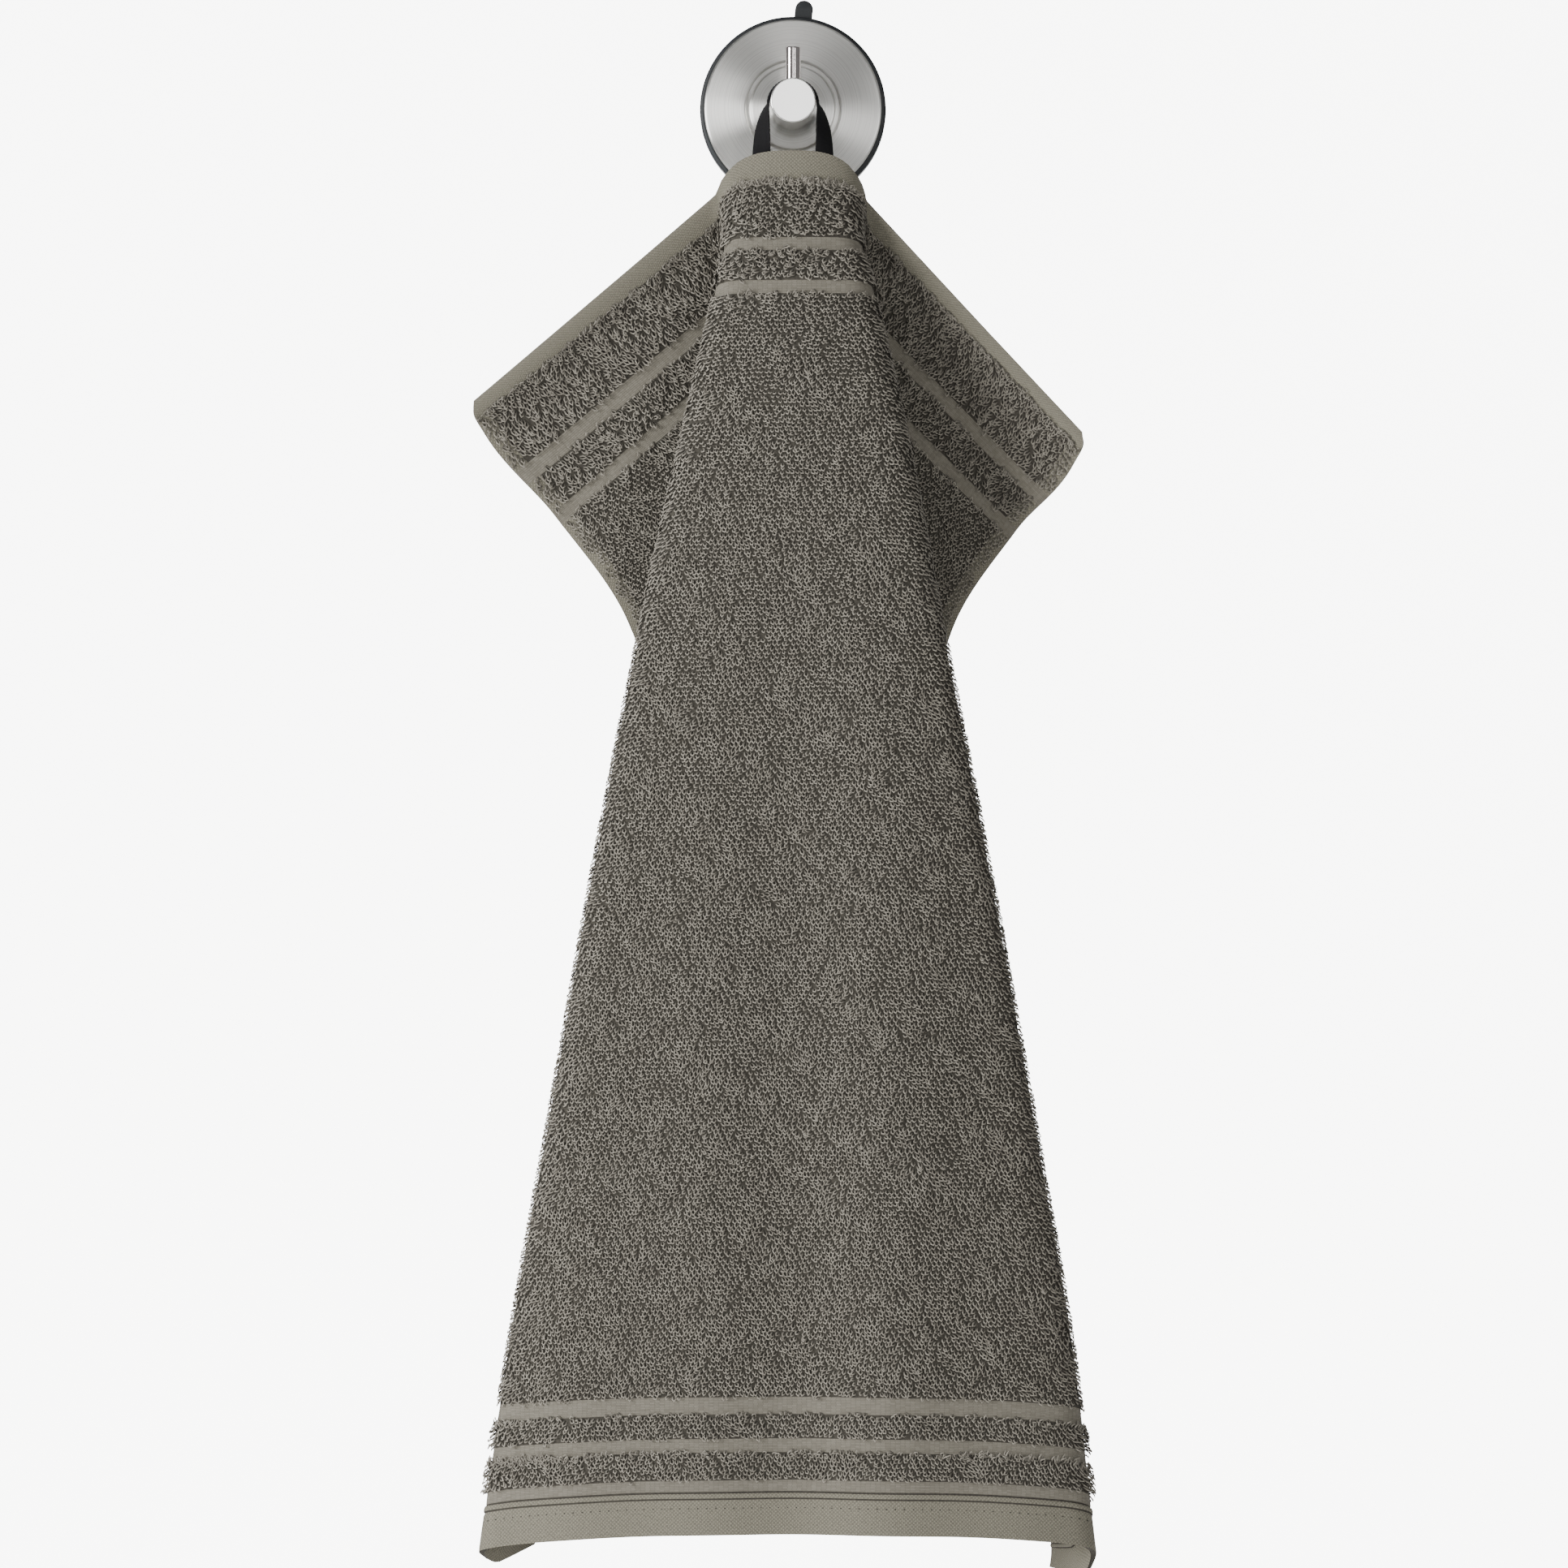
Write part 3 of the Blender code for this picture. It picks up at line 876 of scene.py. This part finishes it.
@dataclass
class Towel:
    """The towel: a woven cloth with flat bands and hems, and its loops of pile.

    Lengths are in mm and angles in radians. "full" names the thicker pile at the ends of
    the lower strips, "upper" the longer, wilder pile of the strips above "upper_end", and
    "raised" the loops that are brushed up over a band. Pairs named "range" are shares of a
    usual loop's own size.
    """

    drape: Drape
    ground: float = 2.0
    hem: float = 2.2
    thin: float = 2.15
    side_hem: float = 6.0
    hem_shown: float = 1.8
    edge: float = 0.7
    column_step: float = 2.8
    row_step: float = 2.5
    band_step: float = 0.6
    grooves: tuple[float, ...] = (484.7, 487.0)
    groove_half: float = 0.32
    groove_depth: float = 0.9
    loop_pitch: tuple[float, float] = (1.74, 1.5)
    back_pitch: tuple[float, float] = (2.1, 1.9)
    loop_width: float = 1.28
    loop_length: float = 1.8
    loop_rise: float = 1.2
    width_range: tuple[float, float] = (0.82, 1.15)
    length_range: tuple[float, float] = (0.78, 1.15)
    rise_range: tuple[float, float] = (0.75, 1.2)
    roll: float = 0.25
    lie: float = 0.2
    tone_spread: float = 0.2
    yarn: float = 0.54
    zones: tuple[tuple[float, float], ...] = ((9, 170), (170, 325), (325, 487))
    terry: tuple[tuple[float, float], ...] = (
        (11.2, 33.5),
        (38.5, 50),
        (55, 450.6),
        (456.7, 465.4),
        (470.4, 480.3),
    )
    overhang: tuple[float, float] = (0.7, 0.75)
    stray: float = 0.12
    full_band: tuple[float, float] = (457, 480)
    full_place: float = 108.0
    full_width: float = 9.0
    full_edge: float = 4.0
    full_size: float = 0.3
    full_rise: float = 0.9
    upper_end: float = 56.0
    upper_edge: float = 10.0
    upper_lie: float = 0.3
    upper_size: float = 0.3
    upper_rise: float = 0.15
    raised_reach: float = 1.6
    raised_lie: float = 0.6
    raised_range: tuple[float, float] = (0.6, 1.15)
    raised_rise_range: tuple[float, float] = (0.8, 1.5)
    fray: Drift = Drift(SEED + 1, 7.0, 0.55)
    sway: Drift = Drift(SEED + 2, 16.0, 0.55)
    ruffle: Drift = Drift(SEED + 3, 4.5, 0.25)
    growth: Drift = Drift(SEED + 4, 20.0, 0.14)
    shade: Drift = Drift(SEED + 5, 12.0, 0.25)
    shift_across: Drift = Drift(SEED + 6, 13.0, 0.22)
    shift_down: Drift = Drift(SEED + 7, 13.0, 0.22)
    stitch_pitch: float = 3.2
    stitch: tuple[float, float, float] = (0.5, 0.34, 0.08)
    stitch_line: float = 490.3
    stitch_lift: float = 1.08
    stitch_inset: float = 4.0
    cloth_finishes: tuple[Any, ...] = (TerryGround(), FlatWeave(), HemCanvas(), HemCanvas("cord"))
    loop_finish: CottonYarn = CottonYarn()
    thread_finish: PlainFinish = PlainFinish("sewing_thread", "#2e2c27", "#45423a", 0.3, 0.8)

    def thickness(self, across: np.ndarray, down: np.ndarray) -> np.ndarray:
        """Give the thickness of the cloth without its loops.

        Args:
            across: Distances right of the middle, in mm.
            down: Distances below the upper hem, in mm.

        Returns:
            The thickness at each point, in mm.
        """
        thick = np.full(np.broadcast(across, down).shape, self.ground)
        for band in BANDS:
            inside = ramp(down, band.start, self.edge) * (1 - ramp(down, band.end, self.edge))
            thick = thick + (band.thickness - self.ground) * inside
        for groove in self.grooves:
            off = (down - groove) / self.groove_half
            thick = thick - self.groove_depth * np.exp(-(off**2))
        at_side = ramp(np.abs(across), self.drape.width / 2 - self.side_hem, self.edge)
        return np.where(thick < self.thin, thick + (self.hem - thick) * at_side, thick)

    def rows(self) -> np.ndarray:
        """Place the cloth's rows of points, closer together in the bands.

        Returns:
            The distance of each row below the upper hem, in mm.
        """
        marks = {0.0, self.drape.length}
        for band in BANDS:
            marks |= {band.start, band.end}
        for groove in self.grooves:
            marks |= {groove - self.groove_half, groove + self.groove_half}
        marks = sorted(marks)
        made = [0.0]
        for low, high in zip(marks[:-1], marks[1:]):
            fine = any(band.start <= low < band.end for band in BANDS)
            fine = fine and high - low > self.groove_half
            count = math.ceil((high - low) / (self.band_step if fine else self.row_step))
            made += list(np.linspace(low, high, count + 1)[1:])
        return np.array(made)

    def build_cloth(self) -> bpy.types.Object:
        """Build the woven cloth as one closed sheet, with a finish for each weave.

        Returns:
            The cloth.
        """
        half = self.drape.width / 2
        inner = half - self.side_hem
        side = np.array([inner + self.edge, inner + self.side_hem / 2, half - 0.5, half])
        middle = np.linspace(-inner, inner, round(2 * inner / self.column_step) + 1)
        across = np.concatenate([-side[::-1], middle, side])
        down = self.rows()
        spread, drop = np.meshgrid(across, down)
        thick = self.thickness(spread, drop)
        sides = [
            self.drape.place(spread, drop, face.value * thick / 2).reshape(-1, 3)
            for face in Face
        ]
        faces = sheet_faces(len(down), len(across))
        finishes = [finish.material() for finish in self.cloth_finishes]
        made = new_piece("towel_cloth", np.concatenate(sides), faces, finishes)
        flat = np.stack([spread.ravel(), drop.ravel()], axis=1)
        flat = np.concatenate([flat, flat])
        mesh = made.data
        corners = np.zeros(len(mesh.loops), np.int32)
        mesh.loops.foreach_get("vertex_index", corners)
        mesh.uv_layers.new(name="flat_mm").data.foreach_set("uv", flat[corners].ravel())
        centre = flat[faces].mean(axis=1)
        weave = np.zeros(len(faces), np.int32)
        weave[np.abs(centre[:, 0]) > inner] = Weave.CANVAS.value
        for band in BANDS:
            inside = (centre[:, 1] > band.start) & (centre[:, 1] < band.end)
            weave[inside] = band.weave.value
        # the sunk grooves beside the cord take the ground's darker finish: painted shade in the
        # creases
        for groove in self.grooves:
            weave[np.abs(centre[:, 1] - groove) < self.groove_half] = Weave.TERRY.value
        mesh.polygons.foreach_set("material_index", weave)
        return made

    def lying_spots(
        self, face: Face, zone: tuple[float, float], chance: np.random.Generator
    ) -> Spots:
        """Choose where the loops of a zone stand, in rows that the cloth's use has stirred.

        Args:
            face: The side of the cloth.
            zone: The distances down at which the zone starts and ends, in mm.
            chance: The source of random numbers.

        Returns:
            Where they stand and how they lie.
        """
        pitch = self.loop_pitch if face is Face.FRONT else self.back_pitch
        reach = self.drape.width / 2 - self.hem_shown
        across = np.arange(-reach - 2, reach + 2, pitch[0])
        number = np.arange(math.ceil(zone[0] / pitch[1]), math.ceil(zone[1] / pitch[1]))
        spread, drop = np.meshgrid(across, number * pitch[1])
        spread = spread + (number % 2)[:, None] * pitch[0] / 2
        spread = (spread + chance.normal(0, self.stray, spread.shape) * pitch[0]).ravel()
        drop = (drop + chance.normal(0, self.stray, drop.shape) * pitch[1]).ravel()
        shift = self.shift_across.at(spread, drop)
        drop = drop + self.shift_down.at(spread, drop)
        spread = spread + shift
        fray = self.fray.at(spread, drop)
        over = np.zeros(len(spread), bool)
        for low, high in self.terry:
            below = drop > low - self.overhang[0] + fray
            over |= below & (drop < high - self.overhang[1] + 0.5 * fray)
        keep = over & (np.abs(spread) < reach + 0.9 * fray)
        spread, drop = spread[keep], drop[keep]
        hang = self.sway.at(spread, drop) + self.ruffle.at(spread, drop)
        size = 1 + self.growth.at(spread, drop)
        full = ramp(drop, self.full_band[0], self.full_edge)
        full *= 1 - ramp(drop, self.full_band[1], self.full_edge)
        full *= np.exp(-(((np.abs(spread) - self.full_place) / self.full_width) ** 2))
        upper = 1 - ramp(drop, self.upper_end, self.upper_edge)
        return Spots(
            spread,
            drop,
            hang + chance.normal(0, self.lie + self.upper_lie * upper),
            size + self.full_size * full + self.upper_size * upper,
            1 + self.full_rise * full + self.upper_rise * upper,
        )

    def raised_spots(self, chance: np.random.Generator) -> Spots:
        """Choose where the loops stand that are brushed up over the bands and the hem.

        Args:
            chance: The source of random numbers.

        Returns:
            Where they stand and how they lie.
        """
        groups = [
            (
                chance.uniform(group.low, group.high, group.count),
                group.down + chance.uniform(0, self.raised_reach, group.count),
                math.pi + chance.normal(0, self.raised_lie, group.count),
                group.size * chance.uniform(*self.raised_range, group.count),
                chance.uniform(*self.raised_rise_range, group.count),
            )
            for group in RAISED
        ]
        return Spots(*(np.concatenate(column) for column in zip(*groups)))

    def build_loops(
        self,
        name: str,
        face: Face,
        spots: Spots,
        chance: np.random.Generator,
        finish: bpy.types.Material,
    ) -> bpy.types.Object:
        """Build loops of yarn, each an open U that comes out of the cloth and hangs down.

        Args:
            name: The piece's name.
            face: The side of the cloth that they stand on.
            spots: Where they stand and how they lie.
            chance: The source of random numbers.
            finish: Their material.

        Returns:
            The loops as one piece.
        """
        across, down, turn = spots.across, spots.down, spots.hang
        count, each = len(across), 2 * len(LOOP)
        width = self.loop_width * chance.uniform(*self.width_range, count) / 2
        length = self.loop_length * chance.uniform(*self.length_range, count) * spots.size
        rise = self.loop_rise * chance.uniform(*self.rise_range, count) * spots.rise
        roll = chance.normal(0, self.roll, count)
        usual = LoopPoint(*np.array(LOOP).T)
        edges = []
        for side in (-1.0, 1.0):
            x = width[:, None] * usual.wide + side * self.yarn / 2 * usual.out
            y = length[:, None] * usual.along + side * self.yarn / 2 * usual.end
            z = rise[:, None] * usual.up - side * 0.1 + roll[:, None] * usual.wide * 0.5
            edges.append(np.stack([x, y, z], axis=2))
        shape = np.stack(edges, axis=2)
        cos, sin = np.cos(turn)[:, None, None], np.sin(turn)[:, None, None]
        spread = across[:, None, None] + shape[..., 0] * cos - shape[..., 1] * sin
        drop = down[:, None, None] + shape[..., 0] * sin + shape[..., 1] * cos
        lift = (self.ground / 2 + shape[..., 2]) * face.value
        points = self.drape.place(spread, drop, lift).reshape(-1, 3)
        faces = np.arange(count)[:, None, None] * each + grid_faces(len(LOOP), 2)[None]
        faces = faces.reshape(-1, 4)
        if face is Face.BACK:
            faces = faces[:, ::-1]
        made = new_piece(name, points, faces, [finish], smooth=180.0)
        # the yarn attribute: side and rise set each loop's painted shade, then comes its own tone
        tone = 0.5 + self.shade.at(across, down) + chance.normal(0, self.tone_spread, count)
        yarn = [
            np.tile([-1.0, 1.0], len(LOOP) * count),
            np.tile(np.repeat(usual.shown, 2), count),
            np.repeat(np.clip(tone, 0, 1), each),
        ]
        kept = made.data.attributes.new("yarn", "FLOAT_VECTOR", "POINT")
        kept.data.foreach_set("vector", np.stack(yarn, axis=1).astype(np.float32).ravel())
        return made

    def build_pile(self, chance: np.random.Generator) -> list[bpy.types.Object]:
        """Build the loops on both sides of the cloth.

        Args:
            chance: The source of random numbers.

        Returns:
            A piece for each side and zone, and one of loops brushed up over the bands.
        """
        finish = self.loop_finish.material()
        made = []
        for face in Face:
            for number, zone in enumerate(self.zones, 1):
                spots = self.lying_spots(face, zone, chance)
                name = f"pile_{face.name.lower()}_{number}"
                made.append(self.build_loops(name, face, spots, chance, finish))
        spots = self.raised_spots(chance)
        made.append(self.build_loops("raised_loops", Face.FRONT, spots, chance, finish))
        return made

    def build_stitches(self) -> bpy.types.Object:
        """Build the line of stitches along the lower hem.

        Returns:
            The stitches as one piece.
        """
        reach = self.drape.width / 2 - self.stitch_inset
        across = np.arange(-reach, reach, self.stitch_pitch)
        rim = np.array([[-1, 0, 0], [0, -1, 0], [1, 0, 0], [0, 1, 0], [0, 0, 1]], float)
        x, y, z = (rim * self.stitch).T[:, None, :]
        points = self.drape.place(
            across[:, None] + x, self.stitch_line + y, self.stitch_lift + z
        ).reshape(-1, 3)
        faces = [
            [5 * k + a, 5 * k + (a + 1) % 4, 5 * k + 4]
            for k in range(len(across))
            for a in range(4)
        ]
        thread = self.thread_finish.material()
        return new_piece("hem_stitches", points, faces, [thread])

    def build(self) -> None:
        """Build the towel's cloth, loops and stitches, and hide the solid that it stands for."""
        chance = np.random.default_rng(SEED)
        cloth = self.build_cloth()
        others = [*self.build_pile(chance), self.build_stitches()]
        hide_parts("towel")


@dataclass
class HangingTape:
    """The black ribbed tape, sewn behind the hem and hung over the peg."""

    drape: Drape
    width: float = 7.0
    thick: float = 1.2
    spread: float = 11.8
    sewn: float = 10.0
    depth: float = 19.5
    peg_radius: float = 8.1
    fit: float = 0.35
    standoff: float = 2.2
    rib: float = 0.75
    rib_height: float = 0.16
    finish: PlainFinish = PlainFinish(
        "tape_yarn", "#08080a", "#1c1b1d", 0.35, 0.85, 0.08, 0.25
    )

    def centre(
        self, stretch: Stretch, share: np.ndarray, wide: np.ndarray, side: int
    ) -> np.ndarray:
        """Place points of one half of the tape's middle surface.

        Args:
            stretch: The stretch that the points are on.
            share: How far along the stretch each point is, from 0 to 1.
            wide: How far off the tape's middle line each point is, in mm.
            side: 1 for the right leg and -1 for the left.

        Returns:
            The points in metres.
        """
        radius = self.peg_radius + self.fit + self.thick / 2
        if stretch is Stretch.OVER:
            angle = share * math.pi / 2
            over = [side * radius * np.cos(angle), wide - self.depth, radius * np.sin(angle)]
            return np.stack(over, axis=-1) * MM
        across = side * (self.spread + wide)
        if stretch is Stretch.SEWN:
            return self.drape.place(across, self.sewn * (1 - share), -self.standoff)
        low = self.drape.place(across, 0.0 * wide, -self.standoff)
        turn = np.arcsin(np.sqrt(share))
        lean = (self.spread - radius) * np.sqrt(1 - share)
        foot = self.drape.place(side * self.spread, 0.0, -self.standoff)[1] / MM
        free = [
            side * (radius + lean + wide * np.cos(turn)),
            foot * (1 - share) - self.depth * share + wide * np.sin(turn),
            self.drape.hem_top * (1 - share),
        ]
        near = ramp(share, 0.25, 0.5)[..., None]
        return low * (1 - near) + np.stack(free, axis=-1) * MM * near

    def build(self) -> bpy.types.Object:
        """Build the tape as one closed strip with ribs across it.

        Returns:
            The tape.
        """
        wide = np.linspace(-0.5, 0.5, 7) * self.width
        strips = []
        for side in (1, -1):
            strip = []
            for stretch in Stretch:
                share = np.arange(stretch.value) / stretch.value
                places = np.meshgrid(share, wide, indexing="ij")
                strip.append(self.centre(stretch, *places, side))
            strips.append(np.concatenate(strip))
        crown = self.centre(Stretch.OVER, *np.meshgrid([1.0], wide, indexing="ij"), 1)
        middle = np.concatenate([strips[0], crown, strips[1][::-1]])
        facing = np.cross(np.gradient(middle, axis=0), np.gradient(middle, axis=1))
        facing /= np.linalg.norm(facing, axis=2, keepdims=True)
        steps = np.linalg.norm(np.diff(middle[:, 3], axis=0), axis=1)
        travel = np.concatenate([[0], np.cumsum(steps)]) / MM
        ribs = self.rib_height * np.cos(2 * math.pi * travel / self.rib)[:, None]
        edge = 1 - 0.5 * (np.abs(wide) / (self.width / 2))[None, :] ** 4
        thick = ((self.thick - self.rib_height) / 2 * edge + ribs / 2) * MM
        sides = [
            (middle + way * facing * thick[..., None]).reshape(-1, 3) for way in (1, -1)
        ]
        made = new_piece(
            "hanging_tape",
            np.concatenate(sides),
            sheet_faces(*middle.shape[:2]),
            [self.finish.material()],
        )
        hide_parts("hanging_loop")
        return made


@dataclass
class WallHook:
    """The hook: a rubber pad, a pressed steel plate, a round peg and its upright pin.

    Sizes are in mm, and depths are measured from the wall.
    """

    steps: int = 160
    ease: float = 1.3
    back_edge: float = 0.2
    pad_radius: float = 34.0
    pad_depth: float = 7.0
    pad_edge: float = 1.4
    plate_radius: float = 32.3
    plate_back: float = 7.35
    plate_rim: float = 10.5
    plate_edge: float = 0.9
    step_outer: float = 17.4
    step_inner: float = 15.2
    step_floor: float = 9.0
    boss: float = 11.0
    peg_radius: float = 8.1
    peg_back: float = 11.35
    peg_front: float = 34.0
    peg_edge: float = 0.45
    pin_radius: float = 2.75
    pin_depth: float = 27.0
    pin_top: float = 20.0
    pin_edge: float = 0.5
    tab_width: float = 6.5
    tab_reach: float = 40.5
    tab_root: float = 5.0
    tab_lean: float = 6.3
    tab_layers: tuple[tuple[float, float], ...] = ((0.3, 1.0), (0.0, 1.3), (0.0, 3.1), (0.3, 3.4))
    brushed: StainlessSteel = StainlessSteel(
        "brushed_steel", "#f2f1ed", "#b8b7b3", 0.45, 0.38, 0.14, 0.98
    )
    turned: StainlessSteel = StainlessSteel("turned_steel", "#f7f6f3", "#e9e8e5", 0.7, 0.2, 0.04)
    polished: StainlessSteel = StainlessSteel(
        "polished_steel", "#efe8e6", "#e0d9d7", 2.0, 0.12, 0.04
    )
    rubber: PlainFinish = PlainFinish("moulded_rubber", "#1d2022", "#2c2f31", 0.4, 0.6, 0.03)

    def lathe(
        self,
        name: str,
        profile: Sequence[tuple[float, float]],
        finish: bpy.types.Material,
        smooth: float = 35.0,
    ) -> bpy.types.Object:
        """Turn an outline about the hook's axis.

        Args:
            name: The piece's name.
            profile: Radius and depth in front of the wall of each corner, in mm.
            finish: Its material.
            smooth: The angle in degrees below which an edge is shaded smooth.

        Returns:
            The turned piece.
        """
        angle = np.arange(self.steps) * 2 * math.pi / self.steps
        points: list[list[float]] = []
        rings: list[list[int]] = []
        for radius, depth in profile:
            first = len(points)
            if radius == 0:
                points.append([0.0, -depth * MM, 0.0])
                rings.append([first] * self.steps)
                continue
            for a in angle:
                points.append(
                    [radius * math.cos(a) * MM, -depth * MM, radius * math.sin(a) * MM]
                )
            rings.append(list(range(first, first + self.steps)))
        faces = []
        for low, high in zip(rings[:-1], rings[1:]):
            for k in range(self.steps):
                after = (k + 1) % self.steps
                corners = [low[k], low[after], high[after], high[k]]
                faces.append(list(dict.fromkeys(corners)))
        return new_piece(name, np.array(points), faces, [finish], smooth)

    def rounded(
        self, radius: float, front: float, back: float, edge: float, steps: int = 6
    ) -> list[tuple[float, float]]:
        """Outline a disc with a rounded front edge.

        A corner close to each end of the rounding keeps the flat faces shaded flat.

        Args:
            radius: The disc's radius, in mm.
            front: How far its front is from the wall, in mm.
            back: How far its back is from the wall, in mm.
            edge: The radius of the rounding, in mm.
            steps: How many corners the rounding has.

        Returns:
            Radius and depth of each corner, in mm.
        """
        made = [(0.0, front), (radius - self.ease * edge, front)]
        for k in range(steps + 1):
            turn = math.pi / 2 * k / steps
            made.append(
                (radius - edge * (1 - math.sin(turn)), front - edge * (1 - math.cos(turn)))
            )
        made += [(radius, front - self.ease * edge), (radius, back + self.back_edge)]
        return [*made, (radius - self.back_edge, back), (0.0, back)]

    def build_pad(self) -> None:
        """Build the rubber pad with its pull tab."""
        rubber = self.rubber.material()
        outline = self.rounded(self.pad_radius, self.pad_depth, 0.0, self.pad_edge)
        pad = self.lathe("rubber_pad", outline, rubber)
        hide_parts("wall_pad")
        half, tip = self.tab_width / 2, self.tab_reach - self.tab_width / 2
        root = self.pad_radius - self.tab_root
        edge = [(-half, root)]
        edge += [
            (-half * math.cos(math.pi * k / 20), tip + half * math.sin(math.pi * k / 20))
            for k in range(21)
        ]
        edge.append((half, root))
        lean = math.radians(self.tab_lean)
        cos, sin = math.cos(lean), math.sin(lean)
        points = []
        for inset, depth in self.tab_layers:
            for x, z in edge:
                x = x - math.copysign(min(inset, abs(x)), x)
                z = z - (inset if z > tip else 0.0)
                points.append((x * cos + z * sin, -depth, z * cos - x * sin))
        count = len(edge)
        faces = [list(range(count)), list(range(4 * count - 1, 3 * count - 1, -1))]
        for low in range(3):
            for k in range(count):
                after = (k + 1) % count
                a, b = low * count, (low + 1) * count
                faces.append([a + after, a + k, b + k, b + after])
        new_piece("pull_tab", np.array(points) * MM, faces, [rubber], 40.0)

    def build_plate(self) -> None:
        """Build the steel plate with its pressed step."""
        rim = self.rounded(self.plate_radius, self.plate_rim, self.plate_back, self.plate_edge)
        outline = [
            (0.0, self.boss),
            (self.step_inner - 0.8, self.boss),
            (self.step_inner - 0.5, self.boss),
            (self.step_inner - 0.2, self.boss - 0.08),
            (self.step_inner, self.boss - 0.3),
            (self.step_inner + 0.4, self.step_floor + 0.15),
            (self.step_inner + 0.7, self.step_floor),
            (self.step_outer - 0.8, self.step_floor),
            (self.step_outer - 0.4, self.step_floor + 0.12),
            (self.step_outer, self.plate_rim - 0.5),
            (self.step_outer + 0.5, self.plate_rim - 0.3),
            (self.step_outer + 1.0, self.plate_rim - 0.29),
            *rim[1:],
        ]
        plate = self.lathe("steel_plate", outline, self.brushed.material(), 20.0)
        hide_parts("backplate")

    def build_peg(self) -> None:
        """Build the round peg and the pin that stands in it."""
        outline = self.rounded(self.peg_radius, self.peg_front, self.peg_back, self.peg_edge)
        peg = self.lathe("steel_peg", outline, self.turned.material())
        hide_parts("peg")
        base = self.peg_radius - 1.0
        outline = self.rounded(self.pin_radius, self.pin_top, base, self.pin_edge)
        pin = self.lathe("steel_pin", outline, self.polished.material())
        pin.data.transform(Matrix.Rotation(math.radians(-90), 4, "X"))
        pin.data.transform(Matrix.Translation((0, -self.pin_depth * MM, 0)))
        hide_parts("pin")

    def build(self) -> None:
        """Build every piece of the hook."""
        self.build_pad()
        self.build_plate()
        self.build_peg()


@dataclass
class Studio:
    """Pale floor and backdrop, soft lights and the camera, in metres."""

    white: str = "#f7f7f6"
    roughness: float = 0.9
    glow: float = 8.0
    panel: float = 1.3
    panel_place: float = 2.2
    surroundings: float = 0.19
    floor_drop: float = 0.55
    floor_front: float = -6.0
    half_width: float = 5.0
    height: float = 4.0
    backdrop: float = 3.2
    cove: float = 0.8
    lens: float = 125.3
    camera: tuple[float, float, float] = (-0.00326, -2.0, -0.2464)

    def add_sheet(
        self, name: str, points: list[tuple[float, float, float]], finish: bpy.types.Material
    ) -> None:
        """Add a sheet of the stage, two points wide.

        Args:
            name: The sheet's name.
            points: Its points in metres, a left and a right one for each step along it.
            finish: Its material.
        """
        mesh = bpy.data.meshes.new(name)
        mesh.from_pydata(points, [], grid_faces(len(points) // 2, 2).tolist())
        mesh.materials.append(finish)
        mesh.shade_smooth()
        made = bpy.data.objects.new(name, mesh)
        bpy.context.scene.collection.objects.link(made)
        made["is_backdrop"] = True

    def build_stage(self, lowest: float) -> None:
        """Build the floor with its curved backdrop, and the lit panel behind the object.

        Args:
            lowest: The height of the object's lowest point, in metres.
        """
        paint = {"Base Color": self.white, "Roughness": self.roughness}
        board, tree = new_material("painted_board")
        finish_surface(tree, paint)
        floor = lowest - self.floor_drop
        steps = [(self.floor_front, floor), (self.backdrop - self.cove, floor)]
        for k in range(1, 13):
            turn = math.pi * k / 24
            back = self.backdrop - self.cove * (1 - math.sin(turn))
            steps.append((back, floor + self.cove * (1 - math.cos(turn))))
        steps.append((self.backdrop, floor + self.height))
        points = [(x, y, z) for y, z in steps for x in (-self.half_width, self.half_width)]
        self.add_sheet("floor_and_backdrop", points, board)
        acrylic, tree = new_material("backlit_acrylic")
        finish_surface(
            tree, {**paint, "Emission Color": self.white, "Emission Strength": self.glow}
        )
        half, middle = self.panel / 2, self.camera[2]
        points = [(x, self.panel_place, middle + z) for z in (-half, half) for x in (-half, half)]
        self.add_sheet("light_panel", points, acrylic)

    def build_lights(self, target: Vector) -> None:
        """Build the soft lights and the pale surroundings.

        Args:
            target: The point that they face, in metres.
        """
        for lamp in LAMPS:
            light = bpy.data.lights.new(lamp.name, "AREA")
            light.shape = "DISK"
            light.size = lamp.size
            light.energy = lamp.power
            made = bpy.data.objects.new(lamp.name, light)
            made.location = lamp.place
            aim = target - Vector(lamp.place)
            made.rotation_euler = aim.to_track_quat("-Z", "Y").to_euler()
            bpy.context.scene.collection.objects.link(made)
        world = bpy.data.worlds.new("surroundings")
        world.use_nodes = True
        sky = world.node_tree.nodes["Background"]
        sky.inputs["Color"].default_value = linear("#ffffff")
        sky.inputs["Strength"].default_value = self.surroundings
        bpy.context.scene.world = world

    def build_camera(self) -> None:
        """Build the camera at the photograph's place, level and square to the wall."""
        lens = bpy.data.cameras.new("camera")
        lens.lens = self.lens
        lens.sensor_width = 36.0
        made = bpy.data.objects.new("camera", lens)
        made.location = self.camera
        made.rotation_euler = (math.radians(90), 0.0, 0.0)
        bpy.context.scene.collection.objects.link(made)
        bpy.context.scene.camera = made


def main() -> None:
    """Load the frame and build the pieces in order."""
    logging.basicConfig(level=logging.INFO, format="%(message)s")
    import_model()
    cad_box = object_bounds()
    WallHook().build()
    drape = Drape()
    HangingTape(drape).build()
    Towel(drape).build()
    studio = Studio()
    studio.build_stage(cad_box[0].z)
    studio.build_lights((cad_box[0] + cad_box[1]) / 2)
    studio.build_camera()


if __name__ == "__main__":
    main()
